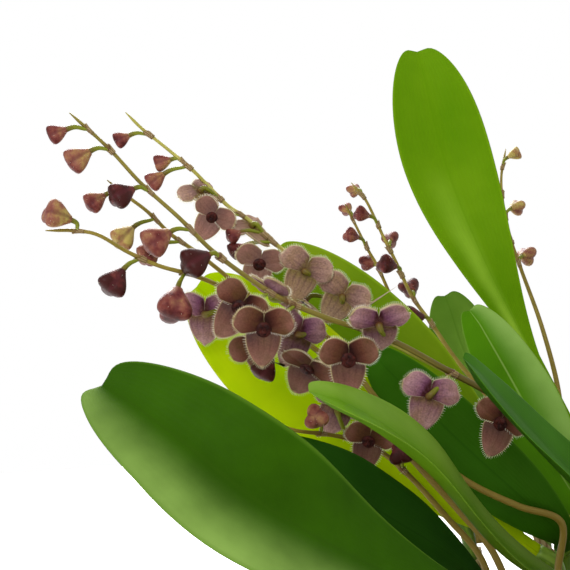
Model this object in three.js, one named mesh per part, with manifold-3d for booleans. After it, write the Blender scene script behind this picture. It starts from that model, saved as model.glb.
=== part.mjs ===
// A small orchid rooted in moss in a square slatted basket: short stems with one fleshy leaf each, and
// arching racemes of small flowers with three rounded sepals. Millimetres, +Z up. The origin is in the
// middle of the underside of the basket's middle floor slat, and the longest racemes lean towards -X.

import * as THREE from 'three'
import { mergeVertices } from 'three/addons/utils/BufferGeometryUtils.js'
import Module from 'manifold-3d'

const wasm = await Module()
wasm.setup()

// Basket: slats stacked crosswise, threaded by a rod at each corner
const basketSide = 120
const slatOverhang = 6
const slatWidth = 10
const slatHeight = 9
const layerCount = 7
const floorSlatCount = 5
const rodDiameter = 2.4
const rodHoleDiameter = 3.2
const rodHeadDiameter = 6
const rodHeadHeight = 2.4
const rodRecess = 2
const clearance = 0.3
const shortestEdge = 0.03

// Moss: a block that fills the basket, mounded on top and bulging between the slats
const mossRim = 60
const mossDome = 9
const mossLump = 1.3
const mossLumpLength = 19
const mossBulge = 2.5
const mossCells = 10

// Stems and leaves
const socketFloor = 42
const stemRootRadius = 1.2
const stemTopRadius = 1.5
const stemSides = 5
const petioleHalfWidth = 1.7
const leafMiddleThickness = 1.5
const leafEdgeThickness = 0.7
const leafFold = 0.3
const leafRows = 8
const leafRowCrowding = 1.25
const leafTipCut = 0.02
const stemSteps = 5

// Racemes
const rachisFootRadius = 0.62
const rachisTipRadius = 0.34
const rachisSides = 5
const footLength = 3
const rachisStep = 7.4
const pedicelRadius = 0.36
const pedicelSides = 4
const pedicelLead = 0.35
const pedicelArrival = 2.2
const ovaryRadius = 0.6
const sepalLength = 4.75
const sepalThickness = 0.6
const sepalCup = 0.5
const flowerEyeRadius = 1.1
const flowerEyeHeight = 0.75
const budRadius = 1.5
const budSlenderness = 2
const budDroop = 0.35
const budSides = 6
const nodeLead = 2.4

// Racemes that are filled by a rule: how far apart their flowers and buds are, and how they hang
const ruledFirst = 1.5
const ruledSpacing = 5.5
const ruledBudReach = 2.6
const ruledFlowerReach = 3.6
const ruledDrop = 1.6
const ruledAhead = 1.6

const wallCentre = basketSide / 2 - slatOverhang - slatWidth / 2
const wallInside = wallCentre - slatWidth / 2
const basketHeight = slatHeight * layerCount
const up = new THREE.Vector3(0, 0, 1)

// The outline of each sepal as angles and shares of the sepal length, anticlockwise from where it joins the
// one before: the lowest one, which is the longest, then the two rounder upper ones.
const sepalOutlines = [
  [[-168, 0.5], [-135, 0.7], [-101, 1.06], [-79, 1.06], [-45, 0.7]],
  [[-12, 0.5], [-6, 0.7], [8, 0.9], [26, 0.92], [57, 0.74]],
  [[90, 0.54], [123, 0.74], [154, 0.92], [172, 0.9], [186, 0.7]],
]

// The shape of a blade, unless its stem has one of its own: where along it the blade is widest, how slowly
// it widens, where its round end would close, as shares of its length, and how deep the notch in its tip is.
const plainBlade = { widest: 0.58, taper: 1.3, roundEnd: 1.02, notch: 1.2 }

// Each leafy stem: where it stands in the moss, the joint at the top of the stem, what the midrib passes
// from there to the tip, the half width of the blade and the way its upper face looks. The first ten lie
// to the left, in front of and behind the long racemes; the others fill the right and back of the clump.
const leafyStems = [
  { root: [3, 12], joint: [1.5, 14, 87], half: 9, faces: [0.25, -0.9, 0.35], widest: 0.66,
    rib: [[-14, 12, 98.5], [-31.5, 11, 115.6], [-49.5, 13, 133]] },
  { root: [-5, -4], joint: [-5, -2, 84], half: 9.5, faces: [-0.1, -0.95, 0.3], widest: 0.72,
    rib: [[-22, -1, 96], [-43.5, -1.5, 112], [-61.5, -5, 128.5]] },
  { root: [-3, -25], joint: [-5, -29, 82], half: 10, faces: [0.14, -0.76, 0.72], widest: 0.72, taper: 2.4,
    roundEnd: 1.05, notch: 2.4,
    rib: [[-33.5, -45, 94], [-51, -53, 105.5], [-61, -51, 113], [-69.5, -47, 118.5]] },
  { root: [2, -15], joint: [0, -20, 82], half: 6.9, faces: [0.62, -0.16, 0.76], widest: 0.66, taper: 0.9,
    notch: 0.8, rib: [[-15.5, -22.5, 91], [-28, -27, 105], [-36.5, -31, 112], [-44.5, -34, 116.5]] },
  { root: [9, 14], joint: [9, 18, 88], half: 9, faces: [0.25, -0.93, 0.1], widest: 0.79, taper: 4,
    rib: [[-1, 20, 107], [-13.5, 22.5, 131.5], [-20, 28, 149], [-24, 33, 168]] },
  { root: [9, -3], joint: [5, -3, 86], half: 6.2, faces: [0.25, -0.88, 0.3],
    rib: [[-3, -1, 96], [-11.5, 1, 112], [-18.5, 3, 124.5]] },
  { root: [-1, 5], joint: [-2, 6, 84], half: 6.3, faces: [-0.2, -0.97, -0.05],
    rib: [[-5, -2.5, 90], [-10, -5, 95], [-21, -5, 105], [-34.6, -6, 118.7]] },
  { root: [-13, -10], joint: [-14, -11, 80], half: 7, faces: [0.35, -0.55, 0.75],
    rib: [[-23, -13.5, 88], [-35, -16, 96], [-50, -17, 106]] },
  { root: [1, 31], joint: [-1, 33, 86], half: 7.5, faces: [0.2, -0.95, 0.2],
    rib: [[-7, 36, 100], [-14, 39, 112], [-18, 41, 124]] },
  { root: [-17, -19], joint: [-18, -21, 77], half: 7.5, faces: [0.1, 0.3, 0.95],
    rib: [[-28, -27, 84], [-40, -34, 89], [-55, -42, 90]] },
  { root: [16, -15], joint: [17, -17, 83], half: 6, faces: [0.72, -0.3, 0.63],
    rib: [[-4, -21, 99.5], [-13.5, -26, 109], [-19.5, -28, 115.5], [-23.5, -28, 120.5]] },
  { root: [18, 2], joint: [20, 2, 86], half: 8.8, faces: [-0.75, -0.35, 0.55],
    rib: [[28, 3, 99], [40, 4, 120], [55, 6, 139]] },
  { root: [15, 21], joint: [17, 24, 84], half: 8.6, faces: [-0.5, -0.6, 0.6],
    rib: [[23, 30, 98], [32, 38, 118], [41, 50, 139]] },
  { root: [9, 33], joint: [10, 36, 82], half: 8, faces: [-0.2, -0.6, 0.75],
    rib: [[13, 44, 94], [18, 55, 107], [23, 70, 117]] },
  { root: [-12, 33], joint: [-14, 37, 80], half: 8, faces: [0.45, -0.5, 0.75],
    rib: [[-21, 44, 89], [-30, 53, 99], [-42, 63, 107]] },
  { root: [29, -11], joint: [33, -12, 78], half: 8, faces: [-0.15, -0.2, 0.95],
    rib: [[44, -14, 85], [58, -17, 91], [75, -22, 93]] },
  { root: [29, 15], joint: [33, 17, 79], half: 8.2, faces: [-0.5, -0.25, 0.8],
    rib: [[43, 21, 89], [56, 27, 99], [72, 34, 106]] },
  { root: [12, -30], joint: [14, -34, 79], half: 8, faces: [-0.1, 0.55, 0.8],
    rib: [[18, -42, 88], [24, -53, 98], [30, -67, 104]] },
]

// Each raceme: the number of the stem that carries it, the way its foot lies off that stem's joint, and
// the route of its stalk to the tip. A flower has its middle, the way it faces, its turn in degrees and its
// size if it isn't full grown; a bud has its middle and its size. The racemes with counts instead are filled
// by a rule.
const racemes = [
  {
    stem: 6,
    side: [0, -1, 0],
    route: [[2, -6, 94], [-4, -6.5, 102.5], [-11, -8.5, 109], [-17, -12, 113], [-24, -15, 117],
      [-31, -17, 121], [-35.5, -18, 123], [-41.5, -19, 125], [-48.5, -20, 128], [-52.5, -20, 130.5],
      [-58.5, -20, 135], [-63, -20, 139.5], [-68.5, -20, 144.5], [-73, -21, 149.5], [-78.5, -21, 154.5]],
    flowers: [
      [[-51, -24.5, 124], [0, -1, 0], -3],
      [[-54.5, -22.5, 127], [-0.2, -0.95, 0.1], -36],
      [[-39, -23, 119.5], [0.1, -1, 0], 0],
      [[-34.5, -20.5, 124.5], [0, 0.75, 0.5], -5],
      [[-27, -17.5, 113.5], [0.1, 1, -0.1], 16],
      [[-16.3, -16, 109.2], [-0.6, -0.8, 0], -20],
      [[-49.6, -16.6, 128.8], [0.55, 0.35, 0.75], 0],
    ],
    buds: [
      [[-80, -22, 151.5], 0.9],
      [[-77, -22, 148], 1.2],
      [[-71, -22, 143], 1.2],
      [[-66, -22, 136.5], 1.4],
      [[-60.5, -22, 133.5], 1.4],
    ],
  },
  {
    stem: 2,
    side: [0, -1, 0],
    route: [[-5, -6, 92], [-12, -8, 95], [-20, -9, 99], [-27, -9.5, 104.5], [-32, -10.5, 109.5],
      [-36, -11, 114.5], [-41, -11, 121], [-47, -11, 124.5], [-51.5, -11, 126.5], [-57.5, -13, 131.5],
      [-61, -15, 134.5], [-64.5, -16, 137], [-68, -17, 140.5], [-70.5, -18, 142.5], [-73.5, -19, 145]],
    flowers: [
      [[-46.2, -15, 122.4], [-0.2, 0.9, 0.1], 21],
      [[-44.8, -15.5, 117.2], [-0.35, -0.75, -0.55], -35],
    ],
    buds: [
      [[-75, -20, 142], 1],
      [[-71, -20, 137], 1.15],
      [[-67.5, -19, 134.5], 1.1],
      [[-51, -14.5, 117.5], 1.25],
    ],
  },
  {
    stem: 8,
    side: [0.35, 0.75, 0.55],
    route: [[-16, -8, 88], [-21, -7, 94], [-26, -7, 99.5], [-30, -7, 104], [-34, -6.5, 108.5],
      [-37, -6, 112], [-40.5, -5.5, 116.5], [-46, -5.5, 121], [-52, -7, 124.5], [-56, -11, 128],
      [-58.5, -16, 130], [-61.5, -20, 131.5], [-66, -23, 133], [-70, -25, 135], [-74, -27, 137.5],
      [-77, -27, 138], [-81, -27, 138]],
    flowers: [
      [[-60, -10.5, 125], [0.2, 0.95, 0.2], 3],
      [[-52.5, -9, 119.5], [-0.5, -0.8, -0.2], 30],
    ],
    buds: [
      [[-79, -28.5, 140], 1.25],
      [[-71.5, -27, 131], 1.3],
      [[-63.5, -25, 127.8], 1.6],
    ],
  },
  {
    stem: 1,
    side: [-0.3, -0.9, 0.3],
    route: [[-2.5, 8, 99], [-7.5, 7, 105.5], [-14.5, 5, 110.5], [-22, 3, 114.5], [-29.5, 1.5, 118.5],
      [-35, 1, 121.5], [-41, 0, 127], [-44.5, 0, 131.5], [-47.5, 0, 133.5], [-50, 0, 135.5], [-54, 2, 139],
      [-57, 2, 141], [-60.5, 3, 144.5], [-63, 3, 147], [-68.5, 4, 151.5], [-71, 4, 153.5], [-73.5, 4, 156]],
    flowers: [
      [[-39, -2.5, 127], [0.1, 0.95, 0.1], 31],
      [[-45, -3.5, 131], [-0.1, 0.95, 0], 25],
      [[-52, -3, 132], [0, -1, 0], -14, 0.9],
      [[-59.5, -1, 139.3], [0.2, -0.95, 0], -33, 0.82],
      [[-61.5, 1, 143.2], [-0.35, 0.6, -0.72], -25, 0.8],
      [[-53.4, 1.2, 137.6], [-0.4, 0.5, -0.75], -20, 0.8],
      [[-45, 0, 125.9], [-0.55, -0.15, -0.8], 0, 0.8],
    ],
    buds: [
      [[-74, 3.5, 151.7], 0.85],
      [[-67.5, 4, 148], 0.9],
      [[-68.5, 3, 145.2], 1],
      [[-56, -1, 136.5], 0.8],
      [[-55.5, -1, 134.2], 0.9],
    ],
  },
  {
    stem: 14,
    side: [-0.9, -0.4, 0],
    route: [[4, 31, 90], [-4, 26, 98], [-11, 28, 106], [-17, 31, 113], [-21, 33.5, 119],
      [-24.5, 35.5, 124], [-27.5, 37, 130.5], [-29.5, 38, 134.5], [-31, 40, 138], [-33, 41, 142],
      [-35.5, 42, 145]],
    flowerCount: 0,
    budCount: 6,
  },
  {
    stem: 15,
    side: [0.5, -0.2, 0.85],
    route: [[-14, 41, 96], [-20, 45, 110], [-26.5, 46, 121], [-30.5, 45, 129.5], [-32, 45, 132],
      [-34.5, 46, 137], [-36.5, 46.5, 141]],
    flowerCount: 0,
    budCount: 3,
  },
  {
    stem: 9,
    side: [0.6, 0.8, 0],
    route: [[4, 38, 96], [4, 41, 105], [1.5, 45, 117], [-1.5, 52, 128], [-3, 56, 134], [-4, 60, 141.5],
      [-4, 62, 146.5], [-3, 63, 152]],
    flowerCount: 0,
    budCount: 5,
  },
  {
    stem: 8,
    side: [-0.6, 0.6, 0.5],
    route: [[-17.8, -7.4, 87], [-22.8, -6.4, 92.8], [-27.6, -6.3, 98.2], [-31.6, -6.3, 102],
      [-34.4, -6.3, 103.9], [-38, -7, 105.3], [-42, -9.5, 106.5], [-47.2, -12, 107.7], [-51.5, -12, 109.8]],
    flowers: [
      [[-39.9, -7.6, 110.4], [0.2, 0.95, 0.2], 25],
      [[-35.3, -10, 105.4], [0, -1, -0.1], -12, 0.9],
    ],
    buds: [
      [[-43.2, -12.5, 109.3], 1.2],
      [[-30.4, -9.8, 103.3], 1.2],
    ],
  },
  {
    stem: 11,
    side: [0.6, -0.6, 0.3],
    route: [[19, -23, 95], [24.5, -28, 109], [35, -35, 121], [50, -41, 130], [66, -45, 135], [80, -47, 137]],
    flowerCount: 4,
    budCount: 3,
  },
  {
    stem: 12,
    side: [-0.2, -0.9, 0.3],
    route: [[21, -4, 97], [27, -8, 113], [37, -11, 128], [51, -13, 140], [66, -14, 148]],
    flowerCount: 4,
    budCount: 3,
  },
  {
    stem: 13,
    side: [0.3, 0.9, 0.2],
    route: [[20, 33, 93], [25, 42, 106], [33, 52, 117], [43, 62, 125], [55, 70, 130]],
    flowerCount: 4,
    budCount: 3,
  },
]

// Colours
const leafGreen = 0x5f9d00
const racemePurple = 0x9a6a66
const mossGreen = 0x7c7440
const woodBrown = 0x9c6a3c
const rodGrey = 0xa8a8a4

const vector = ([x, y, z]) => new THREE.Vector3(x, y, z)
const direction = (values) => vector(values).normalize()
const smoothCurve = (points) => new THREE.CatmullRomCurve3(points, false, 'centripetal')

// Turns a closed geometry into a solid that can be joined and cut.
function solid(geometry) {
  const bare = new THREE.BufferGeometry()
  bare.setAttribute('position', geometry.getAttribute('position'))
  bare.setIndex(geometry.index)
  const merged = mergeVertices(bare, 1e-4)
  const corners = merged.index.array
  const triVerts = []
  for (let i = 0; i < corners.length; i += 3) {
    const [a, b, c] = [corners[i], corners[i + 1], corners[i + 2]]
    if (a !== b && b !== c && c !== a) triVerts.push(a, b, c)
  }
  return new wasm.Manifold(new wasm.Mesh({
    numProp: 3,
    vertProperties: merged.getAttribute('position').array,
    triVerts: new Uint32Array(triVerts),
  }))
}

// Joins solids into one, and drops edges too short to matter.
function fuse(pieces) {
  return pieces.reduce((joined, piece) => joined.add(piece)).simplify(shortestEdge)
}

// A named mesh from a solid.
function meshOf(name, piece, material) {
  const { vertProperties, triVerts } = piece.getMesh()
  const geometry = new THREE.BufferGeometry()
  geometry.setAttribute('position', new THREE.BufferAttribute(vertProperties, 3))
  geometry.setIndex(new THREE.BufferAttribute(triVerts, 1))
  geometry.computeVertexNormals()
  const mesh = new THREE.Mesh(geometry, material)
  mesh.name = name
  return mesh
}

// A tube along a curve, from a cylinder whose rings are laid on the curve. Each station is how far along
// its ring lies, from 0 to 1, and its radius. With ridges the section is a rounded triangle.
function tube(curve, stations, sides, ridge = 0) {
  const steps = stations.length - 1
  const samples = 60
  const frames = curve.computeFrenetFrames(samples, false)
  const cylinder = new THREE.CylinderGeometry(1, 1, 1, sides, steps)
  const position = cylinder.getAttribute('position')
  for (let i = 0; i < position.count; i++) {
    const [t, radius] = stations[Math.round((0.5 - position.getY(i)) * steps)]
    const [x, z] = [position.getX(i), position.getZ(i)]
    const reach = radius * (1 + ridge * Math.cos(3 * Math.atan2(x, z)))
    const frame = Math.round(t * samples)
    const place = curve.getPointAt(t)
      .addScaledVector(frames.normals[frame], x * reach)
      .addScaledVector(frames.binormals[frame], z * reach)
    position.setXYZ(i, place.x, place.y, place.z)
  }
  return solid(cylinder)
}

// Stations at even steps along a tube.
function evenStations(steps, radiusAt) {
  return Array.from({ length: steps + 1 }, (_, i) => [i / steps, radiusAt(i / steps)])
}

// A plate with a wall of its own from a sheet of points and the triangles between them. Both faces have
// the same triangles, and a rim joins them.
function plate(points, triangles, thicknessAt) {
  const sheet = new THREE.BufferGeometry().setFromPoints(points).setIndex(triangles)
  sheet.computeVertexNormals()
  const normal = sheet.getAttribute('normal')
  const walled = [0.5, -0.5].flatMap((face) => points.map((place, i) => {
    const outwards = new THREE.Vector3().fromBufferAttribute(normal, i)
    return place.clone().addScaledVector(outwards, face * thicknessAt(i))
  }))
  const count = points.length
  const corners = []
  const edges = new Set()
  for (let i = 0; i < triangles.length; i += 3) {
    const [a, b, c] = triangles.slice(i, i + 3)
    corners.push(a, b, c, a + count, c + count, b + count)
    edges.add(`${a} ${b}`).add(`${b} ${c}`).add(`${c} ${a}`)
  }
  for (const edge of edges) {
    const [a, b] = edge.split(' ').map(Number)
    if (!edges.has(`${b} ${a}`)) corners.push(b, a, a + count, b, a + count, b + count)
  }
  return solid(new THREE.BufferGeometry().setFromPoints(walled).setIndex(corners))
}

// A seeded draw between -1 and 1.
function drawFrom(seed) {
  let state = seed
  return () => {
    state = (state * 16807) % 2147483647
    return 2 * state / 2147483647 - 1
  }
}

function slatWithHoles() {
  const half = basketSide / 2
  const outline = new THREE.Shape()
    .moveTo(-half, -slatWidth / 2)
    .lineTo(half, -slatWidth / 2)
    .lineTo(half, slatWidth / 2)
    .lineTo(-half, slatWidth / 2)
  for (const x of [-wallCentre, wallCentre]) {
    outline.holes.push(new THREE.Path().absarc(x, 0, rodHoleDiameter / 2, 0, 2 * Math.PI, true))
  }
  return new THREE.ExtrudeGeometry(outline, { depth: slatHeight, bevelEnabled: false, curveSegments: 3 })
}

function addSlats(group, material) {
  const add = (name, geometry, x, y, layer, turned) => {
    const slat = new THREE.Mesh(geometry, material)
    slat.name = name
    slat.position.set(x, y, layer * slatHeight)
    if (turned) slat.rotation.z = Math.PI / 2
    group.add(slat)
  }
  for (let layer = 0; layer < layerCount; layer++) {
    const count = Math.floor(layer / 2) + 1
    if (layer % 2 === 0) {
      add(`slat_front_${count}`, slatWithHoles(), 0, -wallCentre, layer, false)
      add(`slat_back_${count}`, slatWithHoles(), 0, wallCentre, layer, false)
    } else {
      add(`slat_left_${count}`, slatWithHoles(), -wallCentre, 0, layer, true)
      add(`slat_right_${count}`, slatWithHoles(), wallCentre, 0, layer, true)
    }
  }
  const pitch = 2 * wallCentre / (floorSlatCount + 1)
  for (let i = 1; i <= floorSlatCount; i++) {
    const floorSlat = new THREE.BoxGeometry(basketSide, slatWidth, slatHeight).translate(0, 0, slatHeight / 2)
    add(`slat_floor_${i}`, floorSlat, 0, i * pitch - wallCentre, 0, false)
  }
}

// A rod that stops inside the lowest slat and is held by a domed head on the highest one.
function addRods(group, material) {
  const rod = rodDiameter / 2
  const head = rodHeadDiameter / 2
  const profile = [
    [0, rodRecess], [rod, rodRecess], [rod, basketHeight], [head, basketHeight],
    [head, basketHeight + rodHeadHeight * 0.4], [head * 0.6, basketHeight + rodHeadHeight * 0.9],
    [0, basketHeight + rodHeadHeight],
  ].map(([radius, z]) => new THREE.Vector2(radius, z))
  const corners = { left_front: [-1, -1], right_front: [1, -1], right_back: [1, 1], left_back: [-1, 1] }
  for (const [corner, [x, y]] of Object.entries(corners)) {
    const mesh = new THREE.Mesh(new THREE.LatheGeometry(profile, 6), material)
    mesh.name = `rod_${corner}`
    mesh.rotation.x = Math.PI / 2
    mesh.position.set(x * wallCentre, y * wallCentre, 0)
    group.add(mesh)
  }
}

function mossHeight(x, y) {
  const out = (x * x + y * y) / (wallInside * wallInside)
  const wave = 2 * Math.PI / mossLumpLength
  const lumps = Math.sin(wave * x + 1) * Math.cos(wave * y) + 0.5 * Math.sin(wave * (x + 1.7 * y))
  return mossRim + mossDome * Math.max(0, 1 - out) + mossLump * lumps
}

function mossBlock() {
  const half = wallInside - clearance
  const bottom = slatHeight + clearance
  const block = new THREE.BoxGeometry(2 * half, 2 * half, 1, mossCells, mossCells, 1)
  const position = block.getAttribute('position')
  for (let i = 0; i < position.count; i++) {
    const [x, y] = [position.getX(i), position.getY(i)]
    position.setZ(i, position.getZ(i) > 0 ? mossHeight(x, y) : bottom)
  }
  return fuse([solid(block), ...mossBulges(half)]).subtract(fuse(stemHoles())).simplify(shortestEdge)
}

// Moss that bulges out between two slats of the same wall: front and back at the odd layers, left and right
// at the even ones. Nothing holds it at the highest layer.
function mossBulges(half) {
  const bulges = []
  for (let layer = 1; layer < layerCount - 1; layer++) {
    const z = (layer + 0.5) * slatHeight
    const tall = slatHeight / 2 - clearance
    for (const side of [-1, 1]) {
      const bulge = new THREE.CylinderGeometry(1, 1, 2 * half - 1, 6).rotateZ(Math.PI / 2)
      if (layer % 2 === 1) bulge.scale(1, mossBulge, tall).translate(0, side * half, z)
      else bulge.rotateZ(Math.PI / 2).scale(mossBulge, 1, tall).translate(side * half, 0, z)
      bulges.push(solid(bulge))
    }
  }
  return bulges
}

function stemHoles() {
  const radius = (stemRootRadius + clearance) / Math.cos(Math.PI / stemSides)
  return leafyStems.map(({ root: [x, y] }) => {
    const hole = new THREE.CylinderGeometry(radius, radius, basketHeight, stemSides).rotateX(Math.PI / 2)
    return solid(hole.translate(x, y, socketFloor + basketHeight / 2))
  })
}

// The blade's midrib, from the joint to the tip.
const midribOf = ({ joint, rib }) => smoothCurve([joint, ...rib].map(vector))

// How wide a blade is, as a share of its widest: narrow and long at the base, round at the tip.
function bladeOutline(t, { widest, taper, roundEnd }) {
  if (t < widest) return Math.sin(Math.PI / 2 * t / widest) ** taper
  const beyond = (t - widest) / (roundEnd - widest)
  return Math.sqrt(1 - beyond * beyond)
}

// A blade folded along its midrib, with a small notch at the tip. Its rows lie closer together near the tip.
function leafBlade(stem) {
  const shape = { ...plainBlade, ...stem }
  const tip = shape.roundEnd - leafTipCut
  const midrib = midribOf(stem)
  const faces = direction(stem.faces)
  const sheet = new THREE.PlaneGeometry(2, 1, 2, leafRows)
  const position = sheet.getAttribute('position')
  const points = []
  for (let i = 0; i < position.count; i++) {
    const across = position.getX(i)
    const t = tip * (1 - (0.5 - position.getY(i)) ** leafRowCrowding)
    const within = Math.min(t, 1)
    const tangent = midrib.getTangentAt(within)
    const sideways = new THREE.Vector3().crossVectors(tangent, faces).normalize()
    const normal = new THREE.Vector3().crossVectors(sideways, tangent)
    const reach = across * Math.max(petioleHalfWidth, shape.half * bladeOutline(t, shape))
    const setBack = t === tip && across === 0 ? shape.notch : 0
    points.push(midrib.getPointAt(within)
      .addScaledVector(sideways, reach * Math.cos(leafFold))
      .addScaledVector(normal, Math.abs(reach) * Math.sin(leafFold))
      .addScaledVector(tangent, (t - within) * midrib.getLength() - setBack))
  }
  const thicknessAt = (i) => position.getX(i) === 0 ? leafMiddleThickness : leafEdgeThickness
  return plate(points, [...sheet.index.array], thicknessAt)
}

// Where a stem leaves its hole in the moss, just above the surface.
const stemLeavesMoss = ({ root: [x, y] }) => new THREE.Vector3(x, y, mossHeight(x, y) + 2)

function leafyStem(stem) {
  const [x, y] = stem.root
  const clear = stemLeavesMoss(stem)
  const points = [
    new THREE.Vector3(x, y, socketFloor + clearance),
    clear.clone().setZ(clear.z - 6),
    clear,
    vector(stem.joint),
    midribOf(stem).getPointAt(0.07),
  ]
  const radiusAt = (t) => THREE.MathUtils.lerp(stemRootRadius, stemTopRadius, Math.max(0, (t - 0.6) / 0.4))
  return fuse([tube(smoothCurve(points), evenStations(stemSteps, radiusAt), stemSides), leafBlade(stem)])
}

// A frame whose z is the way that a flower or bud faces, and whose y points up as far as it can.
function facingFrame(place, faces) {
  const side = new THREE.Vector3().crossVectors(up, faces).normalize()
  const rise = new THREE.Vector3().crossVectors(faces, side)
  return new THREE.Matrix4().makeBasis(side, rise, faces).setPosition(place)
}

// From the node on the stalk, out and round into the back of what it carries.
function pedicelCurve(node, place, arrival, beyond) {
  const out = node.clone().lerp(place, pedicelLead)
  const bend = place.clone().addScaledVector(arrival, -pedicelArrival)
  const path = new THREE.CurvePath()
  path.add(new THREE.CubicBezierCurve3(node, out, bend, place))
  path.add(new THREE.LineCurve3(place, place.clone().addScaledVector(arrival, beyond)))
  return path
}

// Three sepals in one thin plate, each a fan from its tip, raised a little from where they join.
function sepals(frame, turn, size) {
  const fan = [[3, 4], [4, 5], [5, 0], [0, 1]]
  const tip = 2
  const count = sepalOutlines[0].length
  const all = sepalOutlines.flat()
  const points = all.map(([angle, reach]) => {
    const around = THREE.MathUtils.degToRad(angle + turn)
    const out = reach * size * sepalLength
    const rise = sepalCup * reach * reach
    return new THREE.Vector3(out * Math.cos(around), out * Math.sin(around), rise).applyMatrix4(frame)
  })
  const triangles = [0, count, 2 * count]
  for (let first = 0; first < all.length; first += count) {
    const corner = (i) => (first + i) % all.length
    for (const [a, b] of fan) triangles.push(corner(tip), corner(a), corner(b))
  }
  return plate(points, triangles, () => sepalThickness)
}

// A flower: its pedicel and ovary run through the sepals and end in the dark eye of petals, lip and column.
function flower(node, place, faces, turn, size = 1) {
  const curve = pedicelCurve(node, place, faces, flowerEyeHeight)
  const arrival = 1 - flowerEyeHeight / curve.getLength()
  const stations = [[0, pedicelRadius], [0.4, pedicelRadius], [0.75 * arrival, ovaryRadius],
    [arrival, size * flowerEyeRadius], [1, 0.6 * size * flowerEyeRadius]]
  return fuse([sepals(facingFrame(place, faces), turn, size), tube(curve, stations, pedicelSides)])
}

// A rounded three-cornered bud, which points on along its pedicel.
function bud(node, place, size) {
  const radius = budRadius * size
  const long = budSlenderness * radius
  const points = place.clone().sub(node).normalize()
  points.z -= budDroop
  points.normalize()
  const back = place.clone().addScaledVector(points, -long / 2)
  const curve = pedicelCurve(node, back, points, long)
  const start = 1 - long / curve.getLength()
  const along = (share) => THREE.MathUtils.lerp(start, 1, share)
  const stations = [[0, pedicelRadius], [0.8 * start, ovaryRadius], [along(0.12), 0.55 * radius],
    [along(0.45), 0.95 * radius], [along(0.8), 0.9 * radius], [1, 0.3 * radius]]
  return tube(curve, stations, budSides, 0.1)
}

// The point on the stalk that a flower or bud grows from: a little nearer the foot than the closest one.
function nodeFor(rachis, place) {
  const length = rachis.getLength()
  const samples = 200
  let best = 0
  for (let i = 0; i <= samples; i++) {
    const t = i / samples
    if (rachis.getPointAt(t).distanceTo(place) < rachis.getPointAt(best).distanceTo(place)) best = t
  }
  return rachis.getPointAt(Math.max(0.05, best - nodeLead / length))
}

// Flowers and buds at even steps down from the tip, left and right in turn, hanging a little below the stalk.
function placeByRule(rachis, flowerCount, budCount, seed) {
  const draw = drawFrom(seed)
  const length = rachis.getLength()
  const flowers = []
  const buds = []
  for (let i = 0; i < flowerCount + budCount; i++) {
    const t = 1 - (ruledFirst + i * ruledSpacing) / length
    const along = rachis.getTangentAt(t)
    const side = new THREE.Vector3().crossVectors(along, up).normalize().multiplyScalar(i % 2 ? -1 : 1)
    const reach = i < budCount ? ruledBudReach : ruledFlowerReach
    const place = rachis.getPointAt(t)
      .addScaledVector(side, reach + 0.4 * draw())
      .addScaledVector(up, 0.5 * draw() - ruledDrop)
      .addScaledVector(along, ruledAhead)
    if (i < budCount) {
      buds.push([place, 0.85 + 0.1 * i])
    } else {
      const faces = side.clone().add(new THREE.Vector3(0.4 * draw(), 0.4 * draw(), -0.2 + 0.3 * draw()))
      flowers.push([place, faces.normalize(), 40 * draw()])
    }
  }
  return { flowers, buds }
}

// A raceme's foot lies along the top of its stem, close beside it.
function footOf(stem, side) {
  const joint = vector(stem.joint)
  const along = joint.clone().sub(stemLeavesMoss(stem)).normalize()
  const aside = vector(side).projectOnPlane(along).setLength(stemTopRadius + rachisFootRadius + clearance)
  return [-footLength, 0].map((height) => joint.clone().addScaledVector(along, height).add(aside))
}

function raceme(entry, seed) {
  const foot = footOf(leafyStems[entry.stem - 1], entry.side)
  const rachis = smoothCurve([...foot, ...entry.route.map(vector)])
  const steps = Math.round(rachis.getLength() / rachisStep) + 1
  const stations = evenStations(steps, (t) => THREE.MathUtils.lerp(rachisFootRadius, rachisTipRadius, t))
  const placed = entry.flowers
    ? {
        flowers: entry.flowers.map(([place, faces, ...rest]) => [vector(place), direction(faces), ...rest]),
        buds: entry.buds.map(([place, size]) => [vector(place), size]),
      }
    : placeByRule(rachis, entry.flowerCount, entry.budCount, seed)
  return fuse([
    tube(rachis, stations, rachisSides),
    ...placed.flowers.map(([place, ...rest]) => flower(nodeFor(rachis, place), place, ...rest)),
    ...placed.buds.map(([place, size]) => bud(nodeFor(rachis, place), place, size)),
  ])
}

function material(color, roughness, metalness) {
  return new THREE.MeshStandardMaterial({ color, roughness, metalness })
}

const orchid = new THREE.Group()
addSlats(orchid, material(woodBrown, 0.75, 0))
addRods(orchid, material(rodGrey, 0.35, 1))
orchid.add(meshOf('moss', mossBlock(), material(mossGreen, 0.95, 0)))
leafyStems.forEach((stem, i) => {
  orchid.add(meshOf(`leafy_stem_${i + 1}`, leafyStem(stem), material(leafGreen, 0.4, 0)))
})
racemes.forEach((entry, i) => {
  orchid.add(meshOf(`raceme_${i + 1}`, raceme(entry, i + 1), material(racemePurple, 0.6, 0)))
})

export default orchid
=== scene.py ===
import math
import random

import bmesh
import bpy
import numpy as np
from mathutils import Matrix, Vector, geometry, noise


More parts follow.
